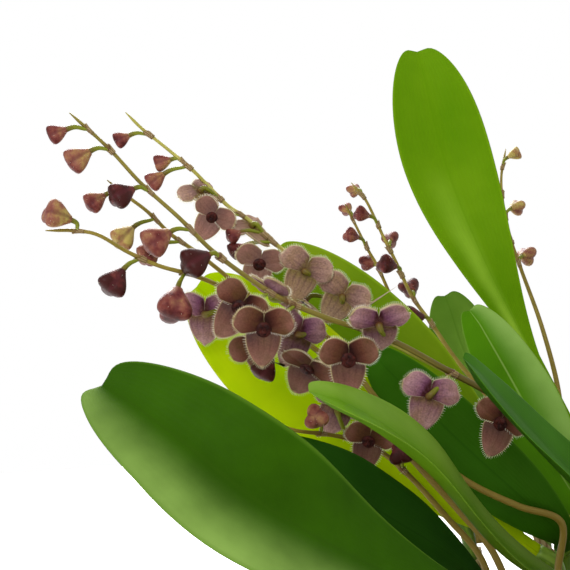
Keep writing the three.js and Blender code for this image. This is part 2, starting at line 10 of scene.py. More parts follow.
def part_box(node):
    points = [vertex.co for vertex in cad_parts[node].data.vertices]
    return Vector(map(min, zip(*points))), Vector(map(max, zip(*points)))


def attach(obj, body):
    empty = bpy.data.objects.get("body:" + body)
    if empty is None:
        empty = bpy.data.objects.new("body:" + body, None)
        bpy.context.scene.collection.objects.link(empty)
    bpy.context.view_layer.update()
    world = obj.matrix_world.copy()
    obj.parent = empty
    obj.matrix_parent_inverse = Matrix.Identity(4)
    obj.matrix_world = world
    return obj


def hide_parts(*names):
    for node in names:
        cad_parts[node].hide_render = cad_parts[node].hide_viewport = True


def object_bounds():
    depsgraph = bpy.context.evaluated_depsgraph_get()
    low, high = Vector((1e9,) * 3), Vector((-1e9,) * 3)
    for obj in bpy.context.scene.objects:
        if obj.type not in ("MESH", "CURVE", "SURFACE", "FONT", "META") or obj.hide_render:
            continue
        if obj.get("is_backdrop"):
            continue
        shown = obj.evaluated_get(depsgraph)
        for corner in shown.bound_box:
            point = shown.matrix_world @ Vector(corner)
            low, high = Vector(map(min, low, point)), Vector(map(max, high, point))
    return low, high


# A small orchid in a slatted basket. The tables below are in millimetres, the scene is in metres.
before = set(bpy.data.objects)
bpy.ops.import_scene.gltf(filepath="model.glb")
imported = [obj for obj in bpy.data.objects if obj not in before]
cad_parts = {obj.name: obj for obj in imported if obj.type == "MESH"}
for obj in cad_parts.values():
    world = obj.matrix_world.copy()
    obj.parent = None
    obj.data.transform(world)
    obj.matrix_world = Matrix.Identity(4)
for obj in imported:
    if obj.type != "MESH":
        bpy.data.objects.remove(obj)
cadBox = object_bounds()
mm = 0.001
up = Vector((0, 0, 1))

# Vertices nearer than this are joined, in metres: in finely drawn pieces, and in the basket
weld = 1e-7
basketWeld = 1e-6


# A new object in the scene
def addObject(name, data):
    made = bpy.data.objects.new(name, data)
    bpy.context.scene.collection.objects.link(made)
    return made


# Camera: close to the flowers, a little above them, looking down four degrees
photoView = {
    "place": (-48, -212.53, 143.46),
    "lookDown": 4,
    "lens": 85,
    "sensor": 36,
    "nearest": 20,
}


def addCamera(view):
    camera = addObject("camera", bpy.data.cameras.new("camera"))
    camera.location = Vector(view["place"]) * mm
    camera.rotation_euler = (math.radians(90 - view["lookDown"]), 0, 0)
    camera.data.lens = view["lens"]
    camera.data.sensor_width = view["sensor"]
    camera.data.clip_start = view["nearest"] * mm
    bpy.context.scene.camera = camera


addCamera(photoView)
print("camera placed")

# Basket, as it was built: slats stacked crosswise, a rod through each corner
basket = {
    "side": 120,
    "overhang": 6,
    "slatWidth": 10,
    "slatHeight": 9,
    "layers": 7,
    "rodDiameter": 2.4,
    "headDiameter": 6,
    "headHeight": 2.4,
    "headWall": 0.3,
    "headChamfer": 0.15,
    "rodChamfer": 0.2,
    "rodRecess": 2,
    "wornEdge": 0.7,
    "gap": 0.3,
}
wallCentre = basket["side"] / 2 - basket["overhang"] - basket["slatWidth"] / 2
wallInside = wallCentre - basket["slatWidth"] / 2
basketHeight = basket["slatHeight"] * basket["layers"]

moss = {
    "rim": 60,
    "dome": 9,
    "lump": 1.3,
    "lumpLength": 19,
    "bulge": 2.5,
    "cells": 56,
    "wallSteps": 34,
    "roughness": 0.9,
    "collar": 2,
    "tufts": 190,
    "sideTufts": 90,
    "sideTuftSize": (1, 0.45, 0.5, 1),
    "tuftMargin": 2,
    "tuftKinds": 6,
    "tuftSpread": 1.6,
    "tuftDepth": 0.8,
    "strands": 26,
    "strandSteps": 5,
    "strandWay": (1, 0.2, 1),
    "strandBend": (0.6, -0.75, 0.15),
    "stepLength": (0.9, 1.9),
    "strandRadius": 0.16,
    "strandThickness": (0.7, 1.5),
}

# The shape of a blade, unless its stem has one of its own: where along it the blade is widest, how slowly
# it widens, where its round end closes, as shares of its length, and how deep and wide its notch is
plainBlade = {
    "widest": 0.58,
    "taper": 1.3,
    "roundEnd": 1.02,
    "notch": 1.2,
    "notchWidth": 0.22,
}

# Each leafy stem: where it stands, the joint above its stalk, what its midrib passes on the way to the
# tip, the half width of the blade, the way its upper face looks and the look that sets its colour.
leafyStems = [
    {"root": (3, 12), "joint": (1.5, 14, 87), "half": 9, "faces": (0.25, -0.9, 0.35), "look": "backlit",
     "rib": [(-14, 12, 98.5), (-31.5, 11, 115.6), (-49.5, 13, 133)], "widest": 0.66},
    {"root": (-5, -4), "joint": (-5, -2, 84), "half": 9.5, "faces": (-0.1, -0.95, 0.3), "look": "glowing",
     "rib": [(-22, -1, 96), (-43.5, -1.5, 112), (-61.5, -5, 128.5)], "widest": 0.72},
    {"root": (-3, -25), "joint": (-5, -29, 82), "half": 10, "faces": (0.14, -0.76, 0.72), "look": "halfShade",
     "rib": [(-33.5, -45, 94), (-51, -53, 105.5), (-61, -51, 113), (-69.5, -47, 118.5)],
     "widest": 0.72, "taper": 2.4, "roundEnd": 1.05, "notch": 2.4, "notchWidth": 0.3},
    {"root": (2, -15), "joint": (0, -20, 82), "half": 6.9, "faces": (0.62, -0.16, 0.76), "look": "folded",
     "rib": [(-15.5, -22.5, 91), (-28, -27, 105), (-36.5, -31, 112), (-44.5, -34, 116.5)],
     "widest": 0.66, "taper": 0.9, "notch": 0.8},
    {"root": (9, 14), "joint": (9, 18, 88), "half": 9, "faces": (0.25, -0.93, 0.1), "look": "bright",
     "rib": [(-1, 20, 107), (-13.5, 22.5, 131.5), (-20, 28, 149), (-24, 33, 168)],
     "widest": 0.79, "taper": 4},
    {"root": (9, -3), "joint": (5, -3, 86), "half": 6.2, "faces": (0.25, -0.88, 0.3), "look": "keeled",
     "rib": [(-3, -1, 96), (-11.5, 1, 112), (-18.5, 3, 124.5)]},
    {"root": (-1, 5), "joint": (-2, 6, 84), "half": 6.3, "faces": (-0.2, -0.97, -0.05), "look": "dim",
     "rib": [(-5, -2.5, 90), (-10, -5, 95), (-21, -5, 105), (-34.6, -6, 118.7)]},
    {"root": (-13, -10), "joint": (-14, -11, 80), "half": 7, "faces": (0.35, -0.55, 0.75), "look": "shaded",
     "rib": [(-23, -13.5, 88), (-35, -16, 96), (-50, -17, 106)]},
    {"root": (1, 31), "joint": (-1, 33, 86), "half": 7.5, "faces": (0.2, -0.95, 0.2), "look": "midLit",
     "rib": [(-7, 36, 100), (-14, 39, 112), (-18, 41, 124)]},
    {"root": (-17, -19), "joint": (-18, -21, 77), "half": 7.5, "faces": (0.1, 0.3, 0.95), "look": "halfShade",
     "rib": [(-28, -27, 84), (-40, -34, 89), (-55, -42, 90)]},
    {"root": (16, -15), "joint": (17, -17, 83), "half": 6, "faces": (0.72, -0.3, 0.63), "look": "dim",
     "rib": [(-4, -21, 99.5), (-13.5, -26, 109), (-19.5, -28, 115.5), (-23.5, -28, 120.5)]},
    {"root": (18, 2), "joint": (20, 2, 86), "half": 8.8, "faces": (-0.75, -0.35, 0.55), "look": "bright",
     "rib": [(28, 3, 99), (40, 4, 120), (55, 6, 139)]},
    {"root": (15, 21), "joint": (17, 24, 84), "half": 8.6, "faces": (-0.5, -0.6, 0.6), "look": "midLit",
     "rib": [(23, 30, 98), (32, 38, 118), (41, 50, 139)]},
    {"root": (9, 33), "joint": (10, 36, 82), "half": 8, "faces": (-0.2, -0.6, 0.75), "look": "midLit",
     "rib": [(13, 44, 94), (18, 55, 107), (23, 70, 117)]},
    {"root": (-12, 33), "joint": (-14, 37, 80), "half": 8, "faces": (0.45, -0.5, 0.75), "look": "bright",
     "rib": [(-21, 44, 89), (-30, 53, 99), (-42, 63, 107)]},
    {"root": (29, -11), "joint": (33, -12, 78), "half": 8, "faces": (-0.15, -0.2, 0.95), "look": "halfShade",
     "rib": [(44, -14, 85), (58, -17, 91), (75, -22, 93)]},
    {"root": (29, 15), "joint": (33, 17, 79), "half": 8.2, "faces": (-0.5, -0.25, 0.8), "look": "midLit",
     "rib": [(43, 21, 89), (56, 27, 99), (72, 34, 106)]},
    {"root": (12, -30), "joint": (14, -34, 79), "half": 8, "faces": (-0.1, 0.55, 0.8), "look": "halfShade",
     "rib": [(18, -42, 88), (24, -53, 98), (30, -67, 104)]},
]

# What all leafy stems share: lengths in millimetres, and shares of the length of a blade or stem
leaf = {
    "rootRadius": 1.2,
    "topRadius": 1.5,
    "stalkRadius": 1.35,
    "middle": 1.5,
    "edge": 0.75,
    "fold": 0.3,
    "waves": 0.35,
    "rows": 64,
    "columns": 32,
    "rowCrowding": 1.5,
    "stalkShare": 0.12,
    "stalkSwelling": 0.9,
    "closing": 12,
    "ripples": (9, 17),
    "crease": 0.004,
    "notchStart": 0.9,
    "rootDepth": 6,
    "stemSteps": 36,
    "stemSides": 14,
    "widening": 0.6,
    "sheaths": ((0.2, 0.5), (0.45, 0.78)),
    "sheathGaps": (0.25, 0.55),
}

# Each raceme: its stem, the way its foot lies off that stem, its route to the tip, and what hangs from
# it. A flower has its middle, the way it faces, its turn in degrees and its size if it isn't full grown; a
# bud has its middle, its size and how ripe it is. Racemes with counts of flowers and buds are filled by a
# rule, and ripe is then how ripe the youngest bud is. Olive is how far the sepals have turned to their
# other colour, and stalk is the look of a stalk that isn't plain.
racemes = [
    {
        "stem": 6,
        "stalk": "darkStalk",
        "side": (0, -1, 0),
        "route": [(2, -6, 94), (-4, -6.5, 102.5), (-11, -8.5, 109), (-17, -12, 113), (-24, -15, 117),
                  (-31, -17, 121), (-35.5, -18, 123), (-41.5, -19, 125), (-48.5, -20, 128),
                  (-52.5, -20, 130.5), (-58.5, -20, 135), (-63, -20, 139.5), (-68.5, -20, 144.5),
                  (-73, -21, 149.5), (-78.5, -21, 154.5)],
        "flowers": [
            ((-51, -24.5, 124), (0, -1, 0), -3),
            ((-54.5, -22.5, 127), (-0.2, -0.95, 0.1), -36),
            ((-39, -23, 119.5), (0.1, -1, 0), 0),
            ((-34.5, -20.5, 124.5), (0, 0.75, 0.5), -5),
            ((-27, -17.5, 113.5), (0.1, 1, -0.1), 16),
            ((-16.3, -16, 109.2), (-0.6, -0.8, 0), -20),
            ((-49.6, -16.6, 128.8), (0.55, 0.35, 0.75), 0),
        ],
        "buds": [
            ((-80, -22, 151.5), 0.9, 0.6),
            ((-77, -22, 148), 1.2, 0.4),
            ((-71, -22, 143), 1.2, 0.95),
            ((-66, -22, 136.5), 1.4, 0.5),
            ((-60.5, -22, 133.5), 1.4, 1.2),
        ],
    },
    {
        "stem": 2,
        "side": (0, -1, 0),
        "route": [(-5, -6, 92), (-12, -8, 95), (-20, -9, 99), (-27, -9.5, 104.5), (-32, -10.5, 109.5),
                  (-36, -11, 114.5), (-41, -11, 121), (-47, -11, 124.5), (-51.5, -11, 126.5),
                  (-57.5, -13, 131.5), (-61, -15, 134.5), (-64.5, -16, 137), (-68, -17, 140.5),
                  (-70.5, -18, 142.5), (-73.5, -19, 145)],
        "flowers": [
            ((-46.2, -15, 122.4), (-0.2, 0.9, 0.1), 21),
            ((-44.8, -15.5, 117.2), (-0.35, -0.75, -0.55), -35),
        ],
        "buds": [
            ((-75, -20, 142), 1, 0.5),
            ((-71, -20, 137), 1.15, 0),
            ((-67.5, -19, 134.5), 1.1, 0.45),
            ((-51, -14.5, 117.5), 1.25, 1),
        ],
    },
    {
        "stem": 8,
        "side": (0.35, 0.75, 0.55),
        "route": [(-16, -8, 88), (-21, -7, 94), (-26, -7, 99.5), (-30, -7, 104), (-34, -6.5, 108.5),
                  (-37, -6, 112), (-40.5, -5.5, 116.5), (-46, -5.5, 121), (-52, -7, 124.5),
                  (-56, -11, 128), (-58.5, -16, 130), (-61.5, -20, 131.5), (-66, -23, 133),
                  (-70, -25, 135), (-74, -27, 137.5), (-77, -27, 138), (-81, -27, 138)],
        "flowers": [
            ((-60, -10.5, 125), (0.2, 0.95, 0.2), 3),
            ((-52.5, -9, 119.5), (-0.5, -0.8, -0.2), 30),
        ],
        "buds": [
            ((-79, -28.5, 140), 1.25, 0.35),
            ((-71.5, -27, 131), 1.3, 1),
            ((-63.5, -25, 127.8), 1.6, 0.6),
        ],
    },
    {
        "stem": 1,
        "olive": 0.5,
        "stalk": "paleStalk",
        "side": (-0.3, -0.9, 0.3),
        "route": [(-2.5, 8, 99), (-7.5, 7, 105.5), (-14.5, 5, 110.5), (-22, 3, 114.5), (-29.5, 1.5, 118.5),
                  (-35, 1, 121.5), (-41, 0, 127), (-44.5, 0, 131.5), (-47.5, 0, 133.5),
                  (-50, 0, 135.5), (-54, 2, 139), (-57, 2, 141), (-60.5, 3, 144.5), (-63, 3, 147),
                  (-68.5, 4, 151.5), (-71, 4, 153.5), (-73.5, 4, 156)],
        "flowers": [
            ((-39, -2.5, 127), (0.1, 0.95, 0.1), 31),
            ((-45, -3.5, 131), (-0.1, 0.95, 0), 25),
            ((-52, -3, 132), (0, -1, 0), -14, 0.9),
            ((-59.5, -1, 139.3), (0.2, -0.95, 0), -33, 0.82),
            ((-61.5, 1, 143.2), (-0.35, 0.6, -0.72), -25, 0.8),
            ((-53.4, 1.2, 137.6), (-0.4, 0.5, -0.75), -20, 0.8),
            ((-45, 0, 125.9), (-0.55, -0.15, -0.8), 0, 0.8),
        ],
        "buds": [
            ((-74, 3.5, 151.7), 0.85, 0.6),
            ((-67.5, 4, 148), 0.9, 0.45),
            ((-68.5, 3, 145.2), 1, 0.5),
            ((-56, -1, 136.5), 0.8, 0.7),
            ((-55.5, -1, 134.2), 0.9, 0.8),
        ],
    },
    {
        "stem": 14,
        "side": (-0.9, -0.4, 0),
        "route": [(4, 31, 90), (-4, 26, 98), (-11, 28, 106), (-17, 31, 113), (-21, 33.5, 119),
                  (-24.5, 35.5, 124), (-27.5, 37, 130.5), (-29.5, 38, 134.5), (-31, 40, 138),
                  (-33, 41, 142), (-35.5, 42, 145)],
        "counts": (0, 6),
    },
    {
        "stem": 15,
        "side": (0.5, -0.2, 0.85),
        "route": [(-14, 41, 96), (-20, 45, 110), (-26.5, 46, 121), (-30.5, 45, 129.5), (-32, 45, 132),
                  (-34.5, 46, 137), (-36.5, 46.5, 141)],
        "counts": (0, 3),
    },
    {
        "stem": 9,
        "side": (0.6, 0.8, 0),
        "route": [(4, 38, 96), (4, 41, 105), (1.5, 45, 117), (-1.5, 52, 128), (-3, 56, 134),
                  (-4, 60, 141.5), (-4, 62, 146.5), (-3, 63, 152)],
        "counts": (0, 5),
        "ripe": 0,
    },
    {
        "stem": 8,
        "side": (-0.6, 0.6, 0.5),
        "route": [(-17.8, -7.4, 87), (-22.8, -6.4, 92.8), (-27.6, -6.3, 98.2), (-31.6, -6.3, 102),
                  (-34.4, -6.3, 103.9), (-38, -7, 105.3), (-42, -9.5, 106.5), (-47.2, -12, 107.7),
                  (-51.5, -12, 109.8)],
        "flowers": [
            ((-39.9, -7.6, 110.4), (0.2, 0.95, 0.2), 25),
            ((-35.3, -10, 105.4), (0, -1, -0.1), -12, 0.9),
        ],
        "buds": [
            ((-43.2, -12.5, 109.3), 1.2, 0.4),
            ((-30.4, -9.8, 103.3), 1.2, 0.9),
        ],
    },
    {
        "stem": 11,
        "side": (0.6, -0.6, 0.3),
        "route": [(19, -23, 95), (24.5, -28, 109), (35, -35, 121), (50, -41, 130), (66, -45, 135),
                  (80, -47, 137)],
        "counts": (4, 3),
    },
    {
        "stem": 12,
        "side": (-0.2, -0.9, 0.3),
        "route": [(21, -4, 97), (27, -8, 113), (37, -11, 128), (51, -13, 140), (66, -14, 148)],
        "counts": (4, 3),
    },
    {
        "stem": 13,
        "side": (0.3, 0.9, 0.2),
        "route": [(20, 33, 93), (25, 42, 106), (33, 52, 117), (43, 62, 125), (55, 70, 130)],
        "counts": (4, 3),
    },
]

# What the stalks of all racemes share
stalk = {
    "footRadius": 0.62,
    "tipRadius": 0.24,
    "footLength": 3,
    "ringsPerMm": 1.6,
    "sides": 10,
    "nodeSwelling": 0.25,
    "nodeLength": 0.8,
    "nodeLead": 2.4,
    "bractLength": 1.7,
    "bractSides": 10,
    "bractPoint": 0.6,
    "bractFoot": 0.95,
    "bractGap": 0.2,
    "nodeHairs": 9,
    "nodeHairLength": 0.4,
    "nodeHairRadius": 0.03,
    "nodeHairSpread": 0.8,
    "nodeTone": 0.85,
    "footTone": 0.15,
    "tipTaper": 2.5,
    "tipFineness": 0.3,
}

# How the rule hangs buds and flowers from a stalk, alternately to its left and right
ruled = {
    "first": 1.5,
    "spacing": 5.5,
    "budReach": 2.6,
    "flowerReach": 3.6,
    "drop": 1.6,
    "ahead": 1.6,
    "firstSize": 0.85,
    "growth": 0.1,
    "ripening": 0.1,
    "reachStray": 0.4,
    "riseStray": 0.5,
    "faceStray": 0.4,
    "faceDrop": 0.2,
    "faceRise": 0.3,
    "turnStray": 40,
}

# The materials of each piece, in the order of their slots on its mesh
racemeSlots = {name: i for i, name in enumerate(
    ("front", "back", "hair", "throat", "pedicel", "bud", "bract", "stalk"))}
stemSlots = {"blade": 0, "stalk": 1, "sheath": 2}
mossSlots = {"damp": 0, "straw": 1, "green": 2}


# Curves through points, as lists of evenly spaced points

# The steps between two points of a curve, and those of a whole midrib or raceme
curveSteps = 16
routeSteps = 200


def smoothPath(points, count):
    ends = [2 * points[0] - points[1], *points, 2 * points[-1] - points[-2]]
    samples = []
    for a, b, c, d in zip(ends, ends[1:], ends[2:], ends[3:]):
        before, here, after = [(q - p).length ** 0.5 for p, q in ((a, b), (b, c), (c, d))]
        leave = ((b - a) / before - (c - a) / (before + here) + (c - b) / here) * here
        arrive = ((c - b) / here - (d - b) / (here + after) + (d - c) / after) * here
        curve = geometry.interpolate_bezier(b, b + leave / 3, c - arrive / 3, c, curveSteps + 1)
        samples += curve[:-1]
    return evenPath([*samples, points[-1]], count)


def evenPath(samples, count):
    places = np.array(samples)
    reach = np.append(0, np.cumsum(np.linalg.norm(np.diff(places, axis=0), axis=1)))
    steps = np.linspace(0, reach[-1], count + 1)
    return [Vector(p) for p in np.column_stack([np.interp(steps, reach, places[:, i]) for i in range(3)])]


def lengthOf(path):
    return sum((b - a).length for a, b in zip(path, path[1:]))


def pointAt(path, share):
    spot = min(max(share, 0), 1) * (len(path) - 1)
    low = min(int(spot), len(path) - 2)
    return path[low].lerp(path[low + 1], spot - low)


def tangentAt(path, share):
    step = 1 / (len(path) - 1)
    return (pointAt(path, share + step) - pointAt(path, share - step)).normalized()


# Frames carried along a path without twisting: two directions square to it at each point
def carriedFrames(path):
    side = (path[1] - path[0]).orthogonal()
    frames = []
    for i in range(len(path)):
        tangent = (path[min(i + 1, len(path) - 1)] - path[max(i - 1, 0)]).normalized()
        side = (side - tangent * side.dot(tangent)).normalized()
        frames.append((side, tangent.cross(side)))
    return frames


# A mesh under way: a UV map for patterns that follow the surface, and a tone for each vertex
def newShape():
    bm = bmesh.new()
    bm.loops.layers.uv.new("follow")
    bm.verts.layers.float.new("tone")
    return bm


# The faces at some vertices, smooth and in one material
def coatFaces(verts, finish):
    faces = list({face: None for vert in verts for face in vert.link_faces})
    for face in faces:
        face.material_index = finish
        face.smooth = True
    return faces


def addGrid(bm, columns, rows, placeAt, finish, toneAt=None):
    follow = bm.loops.layers.uv["follow"]
    toneLayer = bm.verts.layers.float["tone"]
    verts = bmesh.ops.create_grid(bm, x_segments=columns, y_segments=rows, size=0.5)["verts"]
    spots = {}
    for vert in verts:
        spots[vert] = (vert.co.x + 0.5, vert.co.y + 0.5)
        vert.co = placeAt(*spots[vert])
        vert[toneLayer] = toneAt(*spots[vert]) if toneAt else 0
    faces = coatFaces(verts, finish)
    for face in faces:
        for loop in face.loops:
            loop[follow].uv = spots[loop.vert]
    return verts, faces


# A closed tube: a grid wrapped round a path, drawn to a point at both ends
def addTube(bm, path, radiusAt, sides, finish, toneAt=None, sectionAt=None):
    rows = len(path) + 1
    frames = carriedFrames(path)

    def rowOf(v):
        return min(max(round(v * rows) - 1, 0), len(path) - 1)

    def ringTone(u, v):
        return toneAt(rowOf(v) / (len(path) - 1)) if toneAt else 0

    def placeAt(u, v):
        row = rowOf(v)
        share = row / (len(path) - 1)
        angle = 2 * math.pi * u
        radius = 0 if v < 0.5 / rows or v > 1 - 0.5 / rows else radiusAt(share)
        if sectionAt:
            radius *= sectionAt(angle, share)
        side, rise = frames[row]
        return path[row] + side * (radius * math.cos(angle)) + rise * (radius * math.sin(angle))

    verts, faces = addGrid(bm, sides, rows, placeAt, finish, ringTone)
    bmesh.ops.remove_doubles(bm, verts=verts, dist=weld)
    return [vert for vert in verts if vert.is_valid]


# A hair: a slim three-sided cone from its root
def addHair(bm, root, way, length, radius, finish):
    turn = up.rotation_difference(way).to_matrix().to_4x4()
    middle = Matrix.Translation(root + way * (length * 0.45))
    made = bmesh.ops.create_cone(bm, cap_ends=True, segments=3, radius1=radius, radius2=radius * 0.15,
                                 depth=length, matrix=middle @ turn)
    coatFaces(made["verts"], finish)


def meshFrom(bm, name, materials=()):
    mesh = bpy.data.meshes.new(name)
    bm.to_mesh(mesh)
    bm.free()
    for material in materials:
        mesh.materials.append(material)
    return mesh


def finishPiece(name, bm, materials, replaced):
    bmesh.ops.recalc_face_normals(bm, faces=bm.faces)
    piece = addObject(name, meshFrom(bm, name, materials))
    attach(piece, "root")
    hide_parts(*replaced)
    return piece


# Materials

def linear(hexColour):
    parts = [int(hexColour[i:i + 2], 16) / 255 for i in (1, 3, 5)]
    return (*[c / 12.92 if c <= 0.04045 else ((c + 0.055) / 1.055) ** 2.4 for c in parts], 1)


def newMaterial(name):
    material = bpy.data.materials.new(name)
    material.use_nodes = True
    material.node_tree.nodes.clear()
    return material


# Adds a node: its settings by name or input number, its links by input, and the stops of a colour ramp. A
# link comes from a socket, or from a node's first socket in use.
def addNode(material, kind, settings=None, links=None, stops=None):
    node = material.node_tree.nodes.new(f"ShaderNode{kind}")
    for name, value in (settings or {}).items():
        if isinstance(name, int) or name in node.inputs:
            node.inputs[name].default_value = value
        else:
            setattr(node, name, value)
    for name, source in (links or {}).items():
        if isinstance(source, bpy.types.Node):
            source = next(socket for socket in source.outputs if socket.enabled)
        material.node_tree.links.new(source, node.inputs[name])
    for i, (spot, colour) in enumerate(stops or []):
        element = node.color_ramp.elements[i] if i < 2 else node.color_ramp.elements.new(spot)
        element.position = spot
        element.color = linear(colour)
    return node


# The end of a material: its skin, beside it what passes a clear share of the light, and the output
def finishMaterial(material, colour, settings, bump=None, clear=0):
    links = {"Base Color": colour}
    if bump:
        links["Normal"] = bump
    surface = addNode(material, "BsdfPrincipled", settings, links)
    if clear:
        through = addNode(material, "BsdfTranslucent", links={"Color": colour})
        surface = addNode(material, "MixShader", {0: clear}, {1: surface, 2: through})
    addNode(material, "OutputMaterial", links={"Surface": surface})
    return material


# Flower tissue: a thin matt skin that lets some light through. The front is red brown with a maroon
# throat, the back lilac and veined, and both have a narrow pale rim and blotches of another tint. The
# flowers of one raceme have turned to another colour, by the share that the look gives. Clear is the share
# of the light that passes through.
sepalLooks = {
    "sepalFront": {
        "throat": "#260a08",
        "inner": "#47231a",
        "middle": "#643b2c",
        "outer": "#865b4c",
        "blotch": "#543b1b",
        "rim": "#bcab80",
        "vein": "#401c16",
        "veins": 0.2,
        "grain": 0.2,
        "turned": (0.6, "#b88f86"),
        "clear": 0.36,
    },
    "sepalBack": {
        "throat": "#3c141a",
        "inner": "#744660",
        "middle": "#966c7a",
        "outer": "#b28a8c",
        "blotch": "#7d5648",
        "rim": "#cfc3a2",
        "vein": "#5c3644",
        "veins": 0.36,
        "grain": 0.3,
        "turned": (0.62, "#a89858"),
        "clear": 0.36,
    },
}


def sepalMaterial(name, look):
    material = newMaterial(name)
    follow = addNode(material, "UVMap", {"uv_map": "follow"})
    spot = addNode(material, "SeparateXYZ", links={"Vector": follow})
    place = addNode(material, "TexCoord")
    cloud = addNode(material, "TexNoise", {"Scale": 420, "Detail": 3}, {"Vector": place.outputs["Object"]})
    shifted = addNode(material, "Math", {"operation": "MULTIPLY_ADD", 1: 0.35},
                      {0: cloud, 2: spot.outputs["Y"]})
    ramp = addNode(material, "ValToRGB", links={"Fac": shifted},
                   stops=[(0.3, look["throat"]), (1, look["outer"]), (0.42, look["inner"]),
                          (0.64, look["middle"])])
    # Blotches, and the other colour of turned flowers, which tone tells
    spread = addNode(material, "MapRange", {"From Min": 0.42, "From Max": 0.7, "To Max": 0.75},
                     {"Value": cloud})
    blotched = addNode(material, "Mix", {"data_type": "RGBA", 7: linear(look["blotch"])},
                       {0: spread, 6: ramp})
    most, other = look["turned"]
    tone = addNode(material, "Attribute", {"attribute_name": "tone"})
    turned = addNode(material, "Math", {"operation": "MULTIPLY", 1: most}, {0: tone.outputs["Fac"]})
    tinted = addNode(material, "Mix", {"data_type": "RGBA", 7: linear(other)}, {0: turned, 6: blotched})
    # Veins: five lines that run from the throat towards the tip and fade on the way
    across = addNode(material, "Math", {"operation": "MULTIPLY_ADD", 1: 0.12},
                     {0: cloud, 2: spot.outputs["X"]})
    stripe = addNode(material, "Math", {"operation": "MULTIPLY", 1: 34}, {0: across})
    wave = addNode(material, "Math", {"operation": "SINE"}, {0: stripe})
    fade = addNode(material, "MapRange",
                   {"From Min": 0.95, "From Max": 0.25, "To Min": 0, "To Max": look["veins"]},
                   {"Value": spot.outputs["Y"]})
    line = addNode(material, "MapRange", {"From Min": 0.3, "From Max": 1}, {"Value": wave})
    amount = addNode(material, "Math", {"operation": "MULTIPLY"}, {0: fade, 1: line})
    veined = addNode(material, "Mix", {"data_type": "RGBA", 7: linear(look["vein"])},
                     {0: amount, 6: tinted})
    # Rim: the outermost twelfth of the sepal, counted from its midline to its sides and to its tip
    signed = addNode(material, "Math", {"operation": "MULTIPLY_ADD", 1: 2, 2: -1}, {0: spot.outputs["X"]})
    sideways = addNode(material, "Math", {"operation": "ABSOLUTE"}, {0: signed})
    outermost = addNode(material, "Math", {"operation": "MAXIMUM"}, {0: sideways, 1: spot.outputs["Y"]})
    rim = addNode(material, "MapRange", {"From Min": 0.92, "From Max": 0.99, "To Max": 0.8},
                  {"Value": outermost})
    rimmed = addNode(material, "Mix", {"data_type": "RGBA", 7: linear(look["rim"])}, {0: rim, 6: veined})
    # Grain: swollen cells a quarter of a millimetre across, drawn coarser than life so that they show
    cells = addNode(material, "TexNoise", {"Scale": 4200, "Detail": 2},
                    {"Vector": place.outputs["Object"]})
    contrast = addNode(material, "MapRange",
                       {"From Min": 0.25, "From Max": 0.75, "To Min": 1 - look["grain"],
                        "To Max": 1 + look["grain"]}, {"Value": cells})
    grained = addNode(material, "VectorMath", {"operation": "MULTIPLY"}, {0: rimmed, 1: contrast})
    bump = addNode(material, "Bump", {"Strength": 0.4, "Distance": 0.1 * mm}, {"Height": cells})
    return finishMaterial(material, grained, {"Roughness": 0.6, "Specular IOR Level": 0.1}, bump,
                          look["clear"])


# Fringe: pale, nearly clear hairs that catch the light
def hairMaterial():
    material = newMaterial("clearHair")
    place = addNode(material, "TexCoord")
    cloud = addNode(material, "TexNoise", {"Scale": 300}, {"Vector": place.outputs["Object"]})
    ramp = addNode(material, "ValToRGB", links={"Fac": cloud}, stops=[(0.3, "#ece4bd"), (0.6, "#fffcee")])
    return finishMaterial(material, ramp, {"Roughness": 0.45}, clear=0.5)


# Throat: petals, lip and column are fleshy, nearly black maroon and waxy
def waxyThroat():
    material = newMaterial("waxyThroat")
    place = addNode(material, "TexCoord")
    cloud = addNode(material, "TexNoise", {"Scale": 1500, "Detail": 2},
                    {"Vector": place.outputs["Object"]})
    ramp = addNode(material, "ValToRGB", links={"Fac": cloud},
                   stops=[(0.35, "#1c0605"), (0.75, "#451a14")])
    return finishMaterial(material, ramp, {"Roughness": 0.45, "Specular IOR Level": 0.1})


# Bud skin: closed sepals, ochre green when young and wine red when ripe, painted shade along the three
# seams
def budMaterial():
    material = newMaterial("budSkin")
    tone = addNode(material, "Attribute", {"attribute_name": "tone"})
    follow = addNode(material, "UVMap", {"uv_map": "follow"})
    spot = addNode(material, "SeparateXYZ", links={"Vector": follow})
    place = addNode(material, "TexCoord")
    cloud = addNode(material, "TexNoise", {"Scale": 520, "Detail": 3, "Roughness": 0.6},
                    {"Vector": place.outputs["Object"]})
    spread = addNode(material, "MapRange",
                     {"From Min": 0.3, "From Max": 0.7, "To Min": -0.3, "To Max": 0.3}, {"Value": cloud})
    ripe = addNode(material, "Math", {"operation": "ADD"}, {0: tone.outputs["Fac"], 1: spread})
    ramp = addNode(material, "ValToRGB", links={"Fac": ripe},
                   stops=[(0, "#a08e4c"), (1, "#340f0c"), (0.25, "#8a6540"), (0.45, "#7a4a3a"),
                          (0.65, "#66302a"), (0.85, "#4a1a18")])
    # Painted shade: darker in the grooves of the three seams
    stripe = addNode(material, "Math", {"operation": "MULTIPLY", 1: 6 * math.pi}, {0: spot.outputs["X"]})
    wave = addNode(material, "Math", {"operation": "COSINE"}, {0: stripe})
    seam = addNode(material, "MapRange", {"From Min": -0.6, "From Max": -1, "To Min": 0, "To Max": 0.5},
                   {"Value": wave})
    dark = addNode(material, "Mix", {"data_type": "RGBA", 7: linear("#4a1a20")}, {0: seam, 6: ramp})
    cells = addNode(material, "TexNoise", {"Scale": 4200, "Detail": 2},
                    {"Vector": place.outputs["Object"]})
    bump = addNode(material, "Bump", {"Strength": 0.4, "Distance": 0.1 * mm}, {"Height": cells})
    return finishMaterial(material, dark, {"Roughness": 0.45, "Specular IOR Level": 0.12}, bump)


